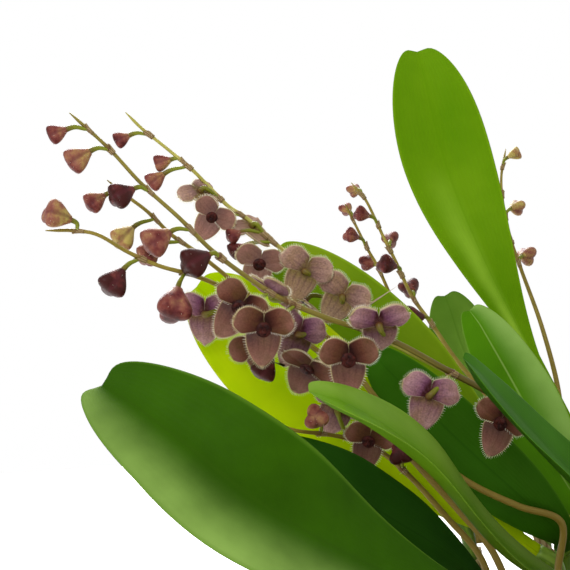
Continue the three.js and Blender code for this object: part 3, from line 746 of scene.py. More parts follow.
# Green stalks: firm, slightly glassy tissue, streaked lengthwise. Each look has its two streak colours,
# the colour of its nodes, which tone marks, the share of the light that passes through, and the colour
# near its foot.
stalkLooks = {
    "racemeStalk": ("#9c8c38", "#7f6e22", "#66402a", 0.2, "#82702a"),
    "darkStalk": ("#8c8030", "#6f6420", "#57301f", 0.1, "#38340a"),
    "paleStalk": ("#bcb85c", "#a09a44", "#80583a", 0.25, "#bcb858"),
    "flowerStalk": ("#8a9026", "#707614", "#5c2c22", 0.25, "#7c8420"),
    "ramicaul": ("#6f8c2a", "#4c6a14", "#6b4a2a", 0.1, "#5c7820"),
}


def stalkMaterial(name, look):
    light, dark, node, clear, foot = look
    material = newMaterial(name)
    place = addNode(material, "TexCoord")
    follow = addNode(material, "UVMap", {"uv_map": "follow"})
    long = addNode(material, "Mapping", {"Scale": (5, 1.2, 1)}, {"Vector": follow})
    streak = addNode(material, "TexNoise", {"Scale": 2.5, "Detail": 2}, {"Vector": long})
    cloud = addNode(material, "TexNoise", {"Scale": 260, "Detail": 2}, {"Vector": place.outputs["Object"]})
    both = addNode(material, "Math", {"operation": "ADD"}, {0: streak, 1: cloud})
    ramp = addNode(material, "ValToRGB", links={"Fac": both}, stops=[(0.75, light), (1, dark)])
    spot = addNode(material, "SeparateXYZ", links={"Vector": follow})
    low = addNode(material, "MapRange", {"From Min": 0.3, "From Max": 0.6, "To Min": 0.9, "To Max": 0},
                  {"Value": spot.outputs["Y"]})
    footed = addNode(material, "Mix", {"data_type": "RGBA", 7: linear(foot)}, {0: low, 6: ramp})
    tone = addNode(material, "Attribute", {"attribute_name": "tone"})
    browned = addNode(material, "Mix", {"data_type": "RGBA", 7: linear(node)},
                      {0: tone.outputs["Fac"], 6: footed})
    return finishMaterial(material, browned, {"Roughness": 0.42, "Specular IOR Level": 0.25}, clear=clear)


# Bracts and sheaths: dry papery tissue with fine lengthwise nerves
def paperyMaterial(name, light, dark):
    material = newMaterial(name)
    follow = addNode(material, "UVMap", {"uv_map": "follow"})
    spot = addNode(material, "SeparateXYZ", links={"Vector": follow})
    stripe = addNode(material, "Math", {"operation": "MULTIPLY", 1: 20 * math.pi}, {0: spot.outputs["X"]})
    wave = addNode(material, "Math", {"operation": "SINE"}, {0: stripe})
    ramp = addNode(material, "ValToRGB", links={"Fac": wave}, stops=[(0.1, light), (0.9, dark)])
    bump = addNode(material, "Bump", {"Strength": 0.3, "Distance": 0.05 * mm}, {"Height": wave})
    return finishMaterial(material, ramp, {"Roughness": 0.65, "Specular IOR Level": 0.3}, bump, clear=0.35)


# Leaves: thick, leathery, satin blades. The looks are lit and shaded copies of one leaf, their colours
# painted
# light and shade: glowing ones painted yellow green as if lit from behind, the ones in shade deep green.
# The midrib is a fine groove, and low is how much darker a blade is near its stalk: painted shade from the
# clump.
# Each has a paler band, a painted sheen where the light lies on it: how far the band is off the midrib,
# from -1 to 1, how far it reaches to both sides, its strength, its colour and how far along the blade it
# ends.
leafLooks = {
    "glowing": {"face": "#b7cf04", "deep": "#a4bd02", "margin": "#c0cc1c", "rib": "#98a800", "clear": 0.5,
              "rough": 0.5, "low": 0.2, "sheenBand": (-0.6, 0.7, 0.35, "#c2c81c", 1.3)},
    "backlit": {"face": "#6e8c0c", "deep": "#5e8204", "margin": "#98b028", "rib": "#587802",
                "clear": 0.4, "rough": 0.5, "low": 0.05, "sheenBand": (0.8, 0.8, 0.3, "#98aa2a", 1.3)},
    "bright": {"face": "#6a9208", "deep": "#5c8800", "margin": "#7ea414", "rib": "#5c8800",
               "clear": 0.35, "rough": 0.5, "low": 0.1, "sheenBand": (-0.3, 0.5, 1, "#98bc3a", 0.6)},
    "folded": {"face": "#6a9412", "deep": "#527e06", "margin": "#7c9c34", "rib": "#467405",
               "clear": 0.25, "rough": 0.45, "low": 0.7, "sheenBand": (0.7, 0.9, 0.7, "#82a040", 1.3)},
    "midLit": {"face": "#678a30", "deep": "#53781e", "margin": "#789a38", "rib": "#4a6e16",
               "clear": 0.3, "rough": 0.45, "low": 0.2, "sheenBand": (0.6, 0.6, 0.5, "#76963a", 1.3)},
    "keeled": {"face": "#4c8006", "deep": "#437404", "margin": "#7c9c40", "rib": "#a4bc68",
               "clear": 0.3, "rough": 0.45, "low": 0.2, "sheenBand": (0.9, 0.95, 1, "#8aac56", 1.3)},
    "dim": {"face": "#33640a", "deep": "#285604", "margin": "#4a7818", "rib": "#204a02",
            "clear": 0.2, "rough": 0.5, "low": 0.25, "sheenBand": (0.5, 0.6, 0.4, "#3c6c14", 1.3)},
    "halfShade": {"face": "#305800", "deep": "#264800", "margin": "#587c20", "rib": "#2c4c04",
            "clear": 0.2, "rough": 0.5, "low": 0.25, "sheenBand": (-0.9, 0.9, 1, "#7f9e4a", 1.3)},
    "shaded": {"face": "#1c4404", "deep": "#133602", "margin": "#28500c", "rib": "#133602",
               "clear": 0.15, "rough": 0.5, "low": 0.1, "sheenBand": (0, 0.5, 0.2, "#28500c", 1.3)},
}


def leafMaterial(name, look):
    material = newMaterial(f"leatheryLeaf_{name}")
    follow = addNode(material, "UVMap", {"uv_map": "follow"})
    spot = addNode(material, "SeparateXYZ", links={"Vector": follow})
    across = addNode(material, "Math", {"operation": "MULTIPLY_ADD", 1: 2, 2: -1}, {0: spot.outputs["X"]})
    aside = addNode(material, "Math", {"operation": "ABSOLUTE"}, {0: across})
    place = addNode(material, "TexCoord")
    cloud = addNode(material, "TexNoise", {"Scale": 60, "Detail": 4, "Roughness": 0.55},
                    {"Vector": place.outputs["Object"]})
    ramp = addNode(material, "ValToRGB", links={"Fac": cloud},
                   stops=[(0.35, look["deep"]), (0.65, look["face"])])
    # The paler band, a painted sheen, broken up a little by the same cloud
    middle, reach, strength, pale, end = look["sheenBand"]
    off = addNode(material, "Math", {"operation": "SUBTRACT", 1: middle}, {0: across})
    distance = addNode(material, "Math", {"operation": "ABSOLUTE"}, {0: off})
    sheenBand = addNode(material, "MapRange",
                   {"interpolation_type": "SMOOTHSTEP", "From Min": reach, "From Max": 0,
                    "To Max": 1.6 * strength}, {"Value": distance})
    ending = addNode(material, "MapRange", {"From Min": end, "From Max": end - 0.3},
                     {"Value": spot.outputs["Y"]})
    ended = addNode(material, "Math", {"operation": "MULTIPLY"}, {0: sheenBand, 1: ending})
    broken = addNode(material, "Math", {"operation": "MULTIPLY", "use_clamp": True}, {0: ended, 1: cloud})
    banded = addNode(material, "Mix", {"data_type": "RGBA", 7: linear(pale)}, {0: broken, 6: ramp})
    # The margin is lighter: painted light, the glow of thin edges with light behind them
    edge = addNode(material, "MapRange", {"From Min": 0.93, "From Max": 1, "To Max": 0.7},
                   {"Value": aside})
    lighter = addNode(material, "Mix", {"data_type": "RGBA", 7: linear(look["margin"])},
                      {0: edge, 6: banded})
    rib = addNode(material, "MapRange", {"From Min": 0.045, "From Max": 0.0, "To Min": 0, "To Max": 0.45},
                  {"Value": aside})
    ribbed = addNode(material, "Mix", {"data_type": "RGBA", 7: linear(look["rib"])}, {0: rib, 6: lighter})
    # Painted shade: the blade darkens towards its stalk, where the clump shades it
    depth = addNode(material, "MapRange", {"From Min": 0.05, "From Max": 0.5, "To Min": 1 - look["low"]},
                    {"Value": spot.outputs["Y"]})
    shaded = addNode(material, "VectorMath", {"operation": "MULTIPLY"}, {0: ribbed, 1: depth})
    # Nerves: faint lengthwise lines about 0.9 mm apart, a little uneven
    nerve = addNode(material, "Math", {"operation": "MULTIPLY", 1: 60}, {0: aside})
    wave = addNode(material, "Math", {"operation": "SINE"}, {0: nerve})
    fine = addNode(material, "TexNoise", {"Scale": 1400, "Detail": 3}, {"Vector": place.outputs["Object"]})
    height = addNode(material, "Math", {"operation": "MULTIPLY_ADD", 1: 0.25}, {0: wave, 2: fine})
    bump = addNode(material, "Bump", {"Strength": 0.25, "Distance": 0.1 * mm}, {"Height": height})
    return finishMaterial(material, shaded, {"Roughness": look["rough"], "Specular IOR Level": 0.04}, bump,
                          look["clear"])


# Moss: long damp fibres, straw and olive, with brown where they are dead
def mossMaterial(name, stops):
    material = newMaterial(name)
    place = addNode(material, "TexCoord")
    patch = addNode(material, "TexNoise", {"Scale": 90, "Detail": 5, "Roughness": 0.7},
                    {"Vector": place.outputs["Object"]})
    ramp = addNode(material, "ValToRGB", links={"Fac": patch}, stops=stops)
    fibre = addNode(material, "TexNoise", {"Scale": 1500, "Detail": 3},
                    {"Vector": place.outputs["Object"]})
    bump = addNode(material, "Bump", {"Strength": 0.8, "Distance": 0.6 * mm}, {"Height": fibre})
    return finishMaterial(material, ramp, {"Roughness": 0.9, "Specular IOR Level": 0.2}, bump)


# Slats: sawn hardwood, oiled once and weathered since, with the grain along the slat
def woodMaterial(name, along):
    material = newMaterial(name)
    place = addNode(material, "TexCoord")
    squeeze = (18, 320, 320) if along == "x" else (320, 18, 320)
    stretched = addNode(material, "Mapping", {"Scale": squeeze}, {"Vector": place.outputs["Object"]})
    grain = addNode(material, "TexNoise", {"Scale": 1, "Detail": 5, "Roughness": 0.6},
                    {"Vector": stretched})
    ramp = addNode(material, "ValToRGB", links={"Fac": grain},
                   stops=[(0.3, "#6b4526"), (0.72, "#b98a57"), (0.5, "#976237")])
    patch = addNode(material, "TexNoise", {"Scale": 45, "Detail": 3}, {"Vector": place.outputs["Object"]})
    grey = addNode(material, "MapRange", {"From Min": 0.45, "From Max": 0.8, "To Max": 0.4},
                   {"Value": patch})
    aged = addNode(material, "Mix", {"data_type": "RGBA", 7: linear("#9a8d78")}, {0: grey, 6: ramp})
    bump = addNode(material, "Bump", {"Strength": 0.5, "Distance": 0.3 * mm}, {"Height": grain})
    return finishMaterial(material, aged, {"Roughness": 0.68, "Specular IOR Level": 0.35}, bump)


# Rods: galvanised steel wire, dull and a little blotched
def galvanisedSteel():
    material = newMaterial("galvanisedSteel")
    place = addNode(material, "TexCoord")
    spangle = addNode(material, "TexVoronoi", {"Scale": 900}, {"Vector": place.outputs["Object"]})
    ramp = addNode(material, "ValToRGB", links={"Fac": spangle}, stops=[(0, "#a9abab"), (0.7, "#8c8f90")])
    rough = addNode(material, "MapRange", {"To Min": 0.3, "To Max": 0.5}, {"Value": spangle})
    skin = addNode(material, "BsdfPrincipled", {"Metallic": 1}, {"Base Color": ramp, "Roughness": rough})
    addNode(material, "OutputMaterial", links={"Surface": skin})
    return material


# Leafy stems

def mossHeight(x, y):
    out = (x * x + y * y) / (wallInside * wallInside)
    wave = 2 * math.pi / moss["lumpLength"]
    lumps = math.sin(wave * x + 1) * math.cos(wave * y) + 0.5 * math.sin(wave * (x + 1.7 * y))
    return moss["rim"] + moss["dome"] * max(0, 1 - out) + moss["lump"] * lumps


def stemLeavesMoss(stem):
    x, y = stem["root"]
    return Vector((x, y, mossHeight(x, y) + moss["collar"]))


def bladeWidth(share, shape):
    if share < shape["widest"]:
        return math.sin(math.pi / 2 * share / shape["widest"]) ** shape["taper"]
    beyond = (share - shape["widest"]) / (shape["roundEnd"] - shape["widest"])
    return math.sqrt(max(0, 1 - beyond * beyond))


# How far a share is into the last stretch, which begins at start, from 0 to 1
def intoLast(share, start):
    return max(0, (share - start) / (1 - start))


# The blade is one closed skin: a grid wrapped round the midrib, flat and folded, round at its edges
def addBlade(bm, stem, seed):
    draw = random.Random(seed)
    phases = [draw.uniform(0, 2 * math.pi) for _ in range(4)]
    shape = {**plainBlade, **stem}
    midrib = smoothPath([Vector(p) for p in (stem["joint"], *stem["rib"])], routeSteps)
    long = lengthOf(midrib)
    faces = Vector(stem["faces"]).normalized()

    def placeAt(u, v):
        share = shape["roundEnd"] * (1 - (1 - v) ** leaf["rowCrowding"])
        tangent = tangentAt(midrib, min(share, 1))
        middle = pointAt(midrib, share) + tangent * (max(0, share - 1) * long)
        sideways = tangent.cross(faces).normalized()
        normal = sideways.cross(tangent)
        angle = 2 * math.pi * u
        across = math.cos(angle)
        width = bladeWidth(share, shape)
        half = shape["half"] * width
        stalkShare = max(0, 1 - share / leaf["stalkShare"])
        closing = min(1, leaf["closing"] * (shape["roundEnd"] - share))
        half = max(half, leaf["stalkRadius"] * closing)
        thick = leaf["middle"] + (leaf["edge"] - leaf["middle"]) * abs(across) ** 0.7
        thick = thick * closing + leaf["stalkSwelling"] * stalkShare
        fold = leaf["fold"] * (1 - 0.6 * stalkShare)
        wave = leaf["waves"] * abs(across) ** 2 * math.sin(math.pi * min(1, share))
        slow, quick = leaf["ripples"]
        ripple = math.sin(slow * share + phases[0 if across > 0 else 1])
        ripple += 0.5 * math.sin(quick * share + phases[2 if across > 0 else 3])
        height = half * math.sqrt(across * across + leaf["crease"]) * math.sin(fold) + wave * ripple
        body = 0.5 * thick * math.sin(angle) * (1 - abs(across) ** 6) ** 0.25
        near = max(0, (share - leaf["notchStart"]) / (shape["roundEnd"] - leaf["notchStart"]))
        back = shape["notch"] * math.exp(-(across * width / shape["notchWidth"]) ** 2) * near ** 2
        return (middle + sideways * (half * across * math.cos(fold)) + normal * (height + body)
                - tangent * back) * mm

    verts, made = addGrid(bm, leaf["columns"], leaf["rows"], placeAt, stemSlots["blade"])
    follow = bm.loops.layers.uv["follow"]
    for face in made:
        for loop in face.loops:
            loop[follow].uv.x = 0.5 + 0.5 * math.cos(2 * math.pi * loop[follow].uv.x)
    bmesh.ops.remove_doubles(bm, verts=verts, dist=weld)
    edges = {edge: None for vert in verts if vert.is_valid for edge in vert.link_edges}
    bmesh.ops.holes_fill(bm, edges=[edge for edge in edges if edge.is_boundary])
    return midrib


def addStem(bm, stem, midrib, seed):
    draw = random.Random(seed)
    top = stemLeavesMoss(stem)
    low = top.copy()
    low.z -= leaf["rootDepth"]
    steps = leaf["stemSteps"]
    path = smoothPath([low, top, Vector(stem["joint"]), pointAt(midrib, 0.05)], steps)
    spots = [p * mm for p in path]
    wider = leaf["topRadius"] - leaf["rootRadius"]
    addTube(bm, spots, lambda share: mm * (leaf["rootRadius"] + wider * intoLast(share, leaf["widening"])),
            leaf["stemSides"], stemSlots["stalk"])
    # Papery sheaths, each pointed at the top on a side of its own
    lowGap, topGap = leaf["sheathGaps"]
    for start, end in leaf["sheaths"]:
        lean = draw.uniform(0, 2 * math.pi)
        addSheath(bm, spots[int(start * steps):int(end * steps)], leaf["rootRadius"] + lowGap,
                  leaf["topRadius"] + topGap, lean, stemSlots["sheath"])


# What papery sheaths and bracts share
sheath = {
    "rows": 5,
    "thickness": 0.12,
}


# A thin sleeve round a path, longer on one side, where it ends in a point
def addSheath(bm, path, lowRadius, topRadius, lean, finish, sides=12, point=0.45):
    frames = carriedFrames(path)
    rows = len(path) - 1

    def placeAt(u, v):
        angle = 2 * math.pi * u
        reach = v * (1 - point * (0.5 - 0.5 * math.cos(angle - lean)))
        spot = reach * rows
        low = min(int(spot), rows - 1)
        middle = path[low].lerp(path[low + 1], spot - low)
        side, rise = frames[low]
        radius = (lowRadius + (topRadius - lowRadius) * reach ** 2) * mm
        return middle + side * (radius * math.cos(angle)) + rise * (radius * math.sin(angle))

    verts, faces = addGrid(bm, sides, sheath["rows"], placeAt, finish)
    bmesh.ops.remove_doubles(bm, verts=verts, dist=weld)
    bmesh.ops.recalc_face_normals(bm, faces=faces)
    bmesh.ops.solidify(bm, geom=faces, thickness=sheath["thickness"] * mm)


# Flowers and buds

# What all flowers share, at full size: long is the length of a sepal before its own stretch
flowerShape = {
    "long": 4.75,
    "cup": 0.5,
    "thickness": 0.3,
    "keel": 0.16,
    "keelWidth": 0.35,
    "curl": 0.2,
    "ripple": 0.09,
    "ripples": 5,
    "throat": 0.1,
    "shoulder": 0.2,
    "cells": 12,
    "curls": (-0.6, 1),
    "bends": (-0.3, 0.5),
    "uneven": 3,
}

# The hairs along a sepal's margin: they begin a good way out from the throat and crowd towards the tip
fringe = {
    "step": 0.27,
    "length": 0.46,
    "lengths": (0.75, 1.1),
    "radius": 0.048,
    "outermost": 0.995,
    "reach": 0.8,
    "crowding": 1.6,
    "awayFrom": 0.75,
    "stray": (0.1, -0.2, 0.4),
}

# Each sepal: where its midline points, its length, half its width below and above its midline, where it is
# widest, how round it ends, how far round the middle it reaches on both sides and how much paler it is.
# The lowest one is long and blunt; the other two are rounder, lean down a little and are joined to each
# other a good way out.
sepals = [
    {"points": -90, "stretch": 1.1, "half": (2.55, 2.55), "widest": 0.15, "round": 0.72, "wedge": (78, 78),
     "paler": 0.25},
    {"points": 18, "stretch": 0.95, "half": (1.6, 2.5), "widest": 0.55, "round": 0.5, "wedge": (30, 72),
     "paler": 0},
    {"points": 162, "stretch": 0.95, "half": (2.5, 1.6), "widest": 0.55, "round": 0.5, "wedge": (72, 30),
     "paler": 0},
]


# How far the edge of a sepal is from its midline, in millimetres, at a share of its length
def sepalWidth(share, sepal, side):
    share = min(1, share)
    if share < sepal["widest"]:
        swell = 1 - flowerShape["shoulder"] * (1 - share / sepal["widest"]) ** 2
    else:
        beyond = (share - sepal["widest"]) / (1 - sepal["widest"])
        swell = max(0, 1 - beyond * beyond) ** sepal["round"]
    reach = flowerShape["long"] * sepal["stretch"] * share
    wedge = flowerShape["throat"] + reach * math.tan(math.radians(sepal["wedge"][side]))
    return min(sepal["half"][side] * swell, wedge)


# A step to a random side, with its rise between low and high
def stray(draw, aside, low, high):
    return Vector((draw.uniform(-aside, aside), draw.uniform(-aside, aside), draw.uniform(low, high)))


def addSepal(bm, placement, angle, sepal, olive, draw):
    size = flowerShape
    wave = draw.uniform(0, 2 * math.pi)
    curl = size["curl"] * draw.uniform(*size["curls"])
    bend = draw.uniform(*size["bends"])
    turn = Matrix.Rotation(angle, 4, "Z")

    def local(across, share):
        x = share * size["long"] * sepal["stretch"]
        y = across * sepalWidth(share, sepal, 1 if across > 0 else 0)
        reach = math.hypot(x, y) / size["long"]
        rise = size["cup"] * reach * reach + bend * share ** 3 - curl * across ** 4 * share ** 2
        rise -= size["keel"] * math.exp(-(y / size["keelWidth"]) ** 2) * min(1, 3 * share)
        rise += size["ripple"] * math.sin(size["ripples"] * share + wave) * across * share
        return Vector((x, y, rise))

    def placeAt(u, v):
        return placement @ turn @ local(2 * u - 1, v ** 0.9)

    front, back = racemeSlots["front"], racemeSlots["back"]
    verts, faces = addGrid(bm, size["cells"], size["cells"], placeAt, front, lambda u, v: olive)
    bmesh.ops.remove_doubles(bm, verts=verts, dist=weld)
    faces = [face for face in faces if face.is_valid]
    facing = (placement.to_3x3() @ up).normalized()
    bm.normal_update()
    if faces[len(faces) // 2].normal.dot(facing) < 0:
        bmesh.ops.reverse_faces(bm, faces=faces)
    walls = bmesh.ops.solidify(bm, geom=faces, thickness=size["thickness"] * mm)["geom"]
    for face in [item for item in walls if isinstance(item, bmesh.types.BMFace)]:
        face.normal_update()
        face.smooth = True
        face.material_index = back if face.normal.dot(facing) < -0.2 else front
    # The fringe stands along the free margin like the teeth of a comb
    rounds = int(2 * size["long"] / fringe["step"])
    for i in range(rounds + 1):
        towardsTip = 1 - fringe["reach"] * abs(2 * i / rounds - 1) ** fringe["crowding"]
        along = min(fringe["outermost"], towardsTip)
        root = local(-1 if i < rounds / 2 else 1, along)
        way = (root - local(0, along * fringe["awayFrom"])).normalized() + stray(draw, *fringe["stray"])
        way = ((placement @ turn).to_3x3() @ way).normalized()
        addHair(bm, placement @ turn @ root, way, fringe["length"] * mm * draw.uniform(*fringe["lengths"]),
                fringe["radius"] * mm, racemeSlots["hair"])


# The small thick bodies in the middle of the sepals: where each is, its half sizes and its turn
eye = {
    "leftPetal": ((-0.5, 0.34, 0.14), (0.56, 0.38, 0.15), 0.5),
    "rightPetal": ((0.5, 0.34, 0.14), (0.56, 0.38, 0.15), -0.5),
    "lip": ((0, -0.45, 0.16), (0.48, 0.44, 0.18), 0),
    "column": ((0, 0.08, 0.24), (0.22, 0.28, 0.16), 0),
    "ground": ((0, 0, 0.02), (1.15, 1.1, 0.17), 0),
}


def addEye(bm, placement):
    for place, size, turn in eye.values():
        spot = Matrix.Translation(place) @ Matrix.Rotation(turn, 4, "Z") @ Matrix.Diagonal((*size, 1))
        made = bmesh.ops.create_uvsphere(bm, u_segments=16, v_segments=8, radius=1, matrix=placement @ spot)
        coatFaces(made["verts"], racemeSlots["throat"])


# A frame in millimetres whose z is the way that a flower looks, and whose y points up as far as it can
def facingFrame(place, faces):
    side = up.cross(faces).normalized()
    rise = faces.cross(side)
    basis = Matrix((side, rise, faces)).transposed().to_4x4()
    return Matrix.Translation(place * mm) @ basis @ Matrix.Scale(mm, 4)


# The stalk of one flower or bud: how far it runs straight towards its end and straight into it, its radius
# at the node and how much that grows, the ovary that it swells into under a flower, and where tone begins
pedicel = {
    "lead": 0.35,
    "arrival": 2.2,
    "curveSteps": 24,
    "flowerSteps": 16,
    "budSteps": 12,
    "sides": 10,
    "flowerRadius": (0.26, 0.16),
    "budRadius": (0.22, 0.22),
    "ovary": 0.2,
    "ovaryStart": 0.6,
    "flowerTone": 0.7,
    "budTone": 0.6,
    "behindFlower": 0.2,
    "insideBud": 0.3,
}


def pedicelPath(node, place, arrival, count):
    lead = node.lerp(place, pedicel["lead"])
    bend = place - arrival * pedicel["arrival"]
    curve = geometry.interpolate_bezier(node, lead, bend, place, pedicel["curveSteps"])
    return [p * mm for p in evenPath(curve, count)]


def addFlower(bm, node, place, faces, turn, size, olive, draw):
    placement = facingFrame(place, faces) @ Matrix.Scale(size, 4)
    for sepal in sepals:
        uneven = draw.uniform(-flowerShape["uneven"], flowerShape["uneven"])
        angle = math.radians(sepal["points"] + turn + uneven)
        addSepal(bm, placement, angle, sepal, olive + sepal["paler"], draw)
    addEye(bm, placement)
    back = place - faces * pedicel["behindFlower"]
    path = pedicelPath(node, back, faces, pedicel["flowerSteps"])
    start, growth = pedicel["flowerRadius"]

    def radiusAt(share):
        ovary = pedicel["ovary"] * intoLast(share, pedicel["ovaryStart"]) ** 2
        return mm * (start + growth * share + ovary)

    addTube(bm, path, radiusAt, pedicel["sides"], racemeSlots["pedicel"],
            lambda share: intoLast(share, pedicel["flowerTone"]))


# A bud: three sepals closed edge to edge, narrow at the pedicel, widest past the middle, blunt at the end
budShape = {
    "radius": 1.5,
    "droop": 0.35,
    "neck": 0.3,
    "widest": 0.76,
    "roundEnd": 0.26,
    "threeSided": 0.22,
    "seamDepth": 0.13,
    "seamWidth": 0.25,
    "skew": 0.08,
    "riperEnd": 0.3,
    "steps": 18,
    "sides": 24,
    "hairs": 10,
    "hairLength": 0.25,
    "hairRadius": 0.03,
}


def addBud(bm, node, place, size, ripe, draw):
    bud = budShape
    radius = bud["radius"] * size
    long = 2 * radius
    points = (place - node).normalized()
    points.z -= bud["droop"]
    points.normalize()
    back = place - points * (long / 2)
    start, growth = pedicel["budRadius"]
    path = pedicelPath(node, back + points * pedicel["insideBud"], points, pedicel["budSteps"])
    addTube(bm, path, lambda share: mm * (start + growth * share), pedicel["sides"], racemeSlots["pedicel"],
            lambda share: 0.8 * intoLast(share, pedicel["budTone"]))
    spine = [(back + points * (long * i / bud["steps"])) * mm for i in range(bud["steps"] + 1)]
    skew = draw.uniform(-bud["skew"], bud["skew"])

    def radiusAt(share):
        swell = math.sin(math.pi / 2 * min(1, share / bud["widest"])) ** 1.2
        beyond = max(0, (share - bud["widest"]) / bud["roundEnd"])
        closing = math.sqrt(max(0, 1 - beyond ** 3))
        return mm * radius * (bud["neck"] + (1 - bud["neck"]) * swell) * closing

    def sectionAt(angle, share):
        third = math.cos(3 * angle)
        seam = math.exp(-((1 + third) / bud["seamWidth"]) ** 2)
        return 1 + (bud["threeSided"] * third - bud["seamDepth"] * seam) * share + skew * math.cos(angle)

    verts = addTube(bm, spine, radiusAt, bud["sides"], racemeSlots["bud"],
                    lambda share: ripe + bud["riperEnd"] * (share - 0.5), sectionAt)
    middle = spine[bud["steps"] // 2]
    for _ in range(bud["hairs"]):
        root = draw.choice(verts)
        out = (root.co - middle).normalized()
        addHair(bm, root.co.copy(), out, bud["hairLength"] * mm, bud["hairRadius"] * mm,
                racemeSlots["hair"])


# Racemes

# Draws from -1 to 1, made as the solids' own are, so that the ruled racemes agree with them
def drawFrom(seed):
    multiplier, modulus = 16807, 2147483647
    state = seed
    while True:
        state = state * multiplier % modulus
        yield 2 * state / modulus - 1


def nodeFor(rachis, place):
    gaps = [(p - place).length for p in rachis]
    best = gaps.index(min(gaps)) / (len(rachis) - 1)
    return max(0.05, best - stalk["nodeLead"] / lengthOf(rachis))


def placeByRule(rachis, entry, seed):
    draw = drawFrom(seed)
    flowerCount, budCount = entry["counts"]
    ripe = entry.get("ripe", 0.5)
    flowers = []
    buds = []
    for i in range(flowerCount + budCount):
        share = 1 - (ruled["first"] + i * ruled["spacing"]) / lengthOf(rachis)
        along = tangentAt(rachis, share)
        side = along.cross(up).normalized() * (-1 if i % 2 else 1)
        reach = ruled["budReach"] if i < budCount else ruled["flowerReach"]
        place = pointAt(rachis, share) + side * (reach + ruled["reachStray"] * next(draw))
        place += up * (ruled["riseStray"] * next(draw) - ruled["drop"]) + along * ruled["ahead"]
        if i < budCount:
            size = ruled["firstSize"] + ruled["growth"] * i
            buds.append((place, size, ripe + ruled["ripening"] * i))
        else:
            x, y = [ruled["faceStray"] * next(draw) for _ in range(2)]
            faces = side + Vector((x, y, ruled["faceRise"] * next(draw) - ruled["faceDrop"]))
            flowers.append((place, faces.normalized(), ruled["turnStray"] * next(draw), 1))
    return flowers, buds


def footOf(stem, side):
    joint = Vector(stem["joint"])
    along = (joint - stemLeavesMoss(stem)).normalized()
    aside = Vector(side)
    aside = (aside - along * aside.dot(along)).normalized()
    aside *= leaf["topRadius"] + stalk["footRadius"] + basket["gap"]
    return [joint - along * stalk["footLength"] + aside, joint + aside]


def addRachis(bm, rachis, shares, draw):
    long = lengthOf(rachis)
    rings = int(long * stalk["ringsPerMm"])
    path = [pointAt(rachis, i / rings) for i in range(rings + 1)]

    def nodeness(share):
        return max([math.exp(-((share - s) * long / stalk["nodeLength"]) ** 2) for s in shares] or [0])

    def radiusAt(share):
        plain = stalk["footRadius"] + (stalk["tipRadius"] - stalk["footRadius"]) * share
        fine = min(1, stalk["tipFineness"] + (1 - share) * long / stalk["tipTaper"])
        return mm * plain * fine * (1 + stalk["nodeSwelling"] * nodeness(share))

    addTube(bm, [p * mm for p in path], radiusAt, stalk["sides"], racemeSlots["stalk"],
            lambda share: min(1, stalk["nodeTone"] * nodeness(share) + stalk["footTone"] * (1 - share)))
    bract = stalk["bractLength"] / long
    spread = stalk["nodeHairSpread"]
    for share in shares:
        sleeve = [pointAt(rachis, share + bract * (i / 4 - 0.5)) * mm for i in range(5)]
        radius = radiusAt(share) / mm
        addSheath(bm, sleeve, radius * stalk["bractFoot"], radius + stalk["bractGap"],
                  draw.uniform(0, 6.28), racemeSlots["bract"], stalk["bractSides"], stalk["bractPoint"])
        for _ in range(stalk["nodeHairs"]):
            spot = pointAt(rachis, share + draw.uniform(-spread, spread) / long)
            out = Vector([draw.uniform(-1, 1) for _ in range(3)])
            along = tangentAt(rachis, share)
            out = (out - along * out.dot(along)).normalized()
            addHair(bm, (spot + out * radius) * mm, (out + along * 0.4).normalized(),
                    stalk["nodeHairLength"] * mm, stalk["nodeHairRadius"] * mm, racemeSlots["hair"])


def buildRaceme(number, entry, materials):
    draw = random.Random(100 + number)
    foot = footOf(leafyStems[entry["stem"] - 1], entry["side"])
    rachis = smoothPath([*foot, *[Vector(p) for p in entry["route"]]], routeSteps)
    if "counts" in entry:
        flowers, buds = placeByRule(rachis, entry, number)
    else:
        flowers = [(Vector(p), Vector(f).normalized(), turn, *(size or [1]))
                   for p, f, turn, *size in entry["flowers"]]
        buds = [(Vector(p), size, ripe) for p, size, ripe in entry["buds"]]
    bm = newShape()
    shares = [nodeFor(rachis, place) for place, *_ in [*flowers, *buds]]
    nodes = iter([pointAt(rachis, share) for share in shares])
    for flower in flowers:
        addFlower(bm, next(nodes), *flower, entry.get("olive", 0), draw)
    for bud in buds:
        addBud(bm, next(nodes), *bud, draw)
    addRachis(bm, rachis, shares, draw)
    finishPiece(f"orchidRaceme_{number}", bm, materials, [f"raceme_{number}"])


racemeMaterials = [
    sepalMaterial("sepalFront", sepalLooks["sepalFront"]),
    sepalMaterial("sepalBack", sepalLooks["sepalBack"]),
    hairMaterial(),
    waxyThroat(),
    stalkMaterial("flowerStalk", stalkLooks["flowerStalk"]),
    budMaterial(),
    paperyMaterial("paperyBract", "#a08a5c", "#6f4e34"),
]
rachisMaterials = {name: stalkMaterial(name, stalkLooks[name])
                   for name in ("racemeStalk", "darkStalk", "paleStalk")}
for number, entry in enumerate(racemes, 1):
    buildRaceme(number, entry, [*racemeMaterials, rachisMaterials[entry.get("stalk", "racemeStalk")]])
print("racemes made")

leafMaterials = {name: leafMaterial(name, look) for name, look in leafLooks.items()}
ramicaul = stalkMaterial("ramicaul", stalkLooks["ramicaul"])
drySheath = paperyMaterial("drySheath", "#a8946a", "#7c6242")
for number, stem in enumerate(leafyStems, 1):
    bm = newShape()
    midrib = addBlade(bm, stem, number)
    addStem(bm, stem, midrib, number)
    finishPiece(f"orchidLeaf_{number}", bm, [leafMaterials[stem["look"]], ramicaul, drySheath],
                [f"leafy_stem_{number}"])
print("leaves made")


# Moss

def mossFuzz(place):
    return moss["roughness"] * (noise.noise(place * 0.35) + 0.5 * noise.noise(place * 0.9))


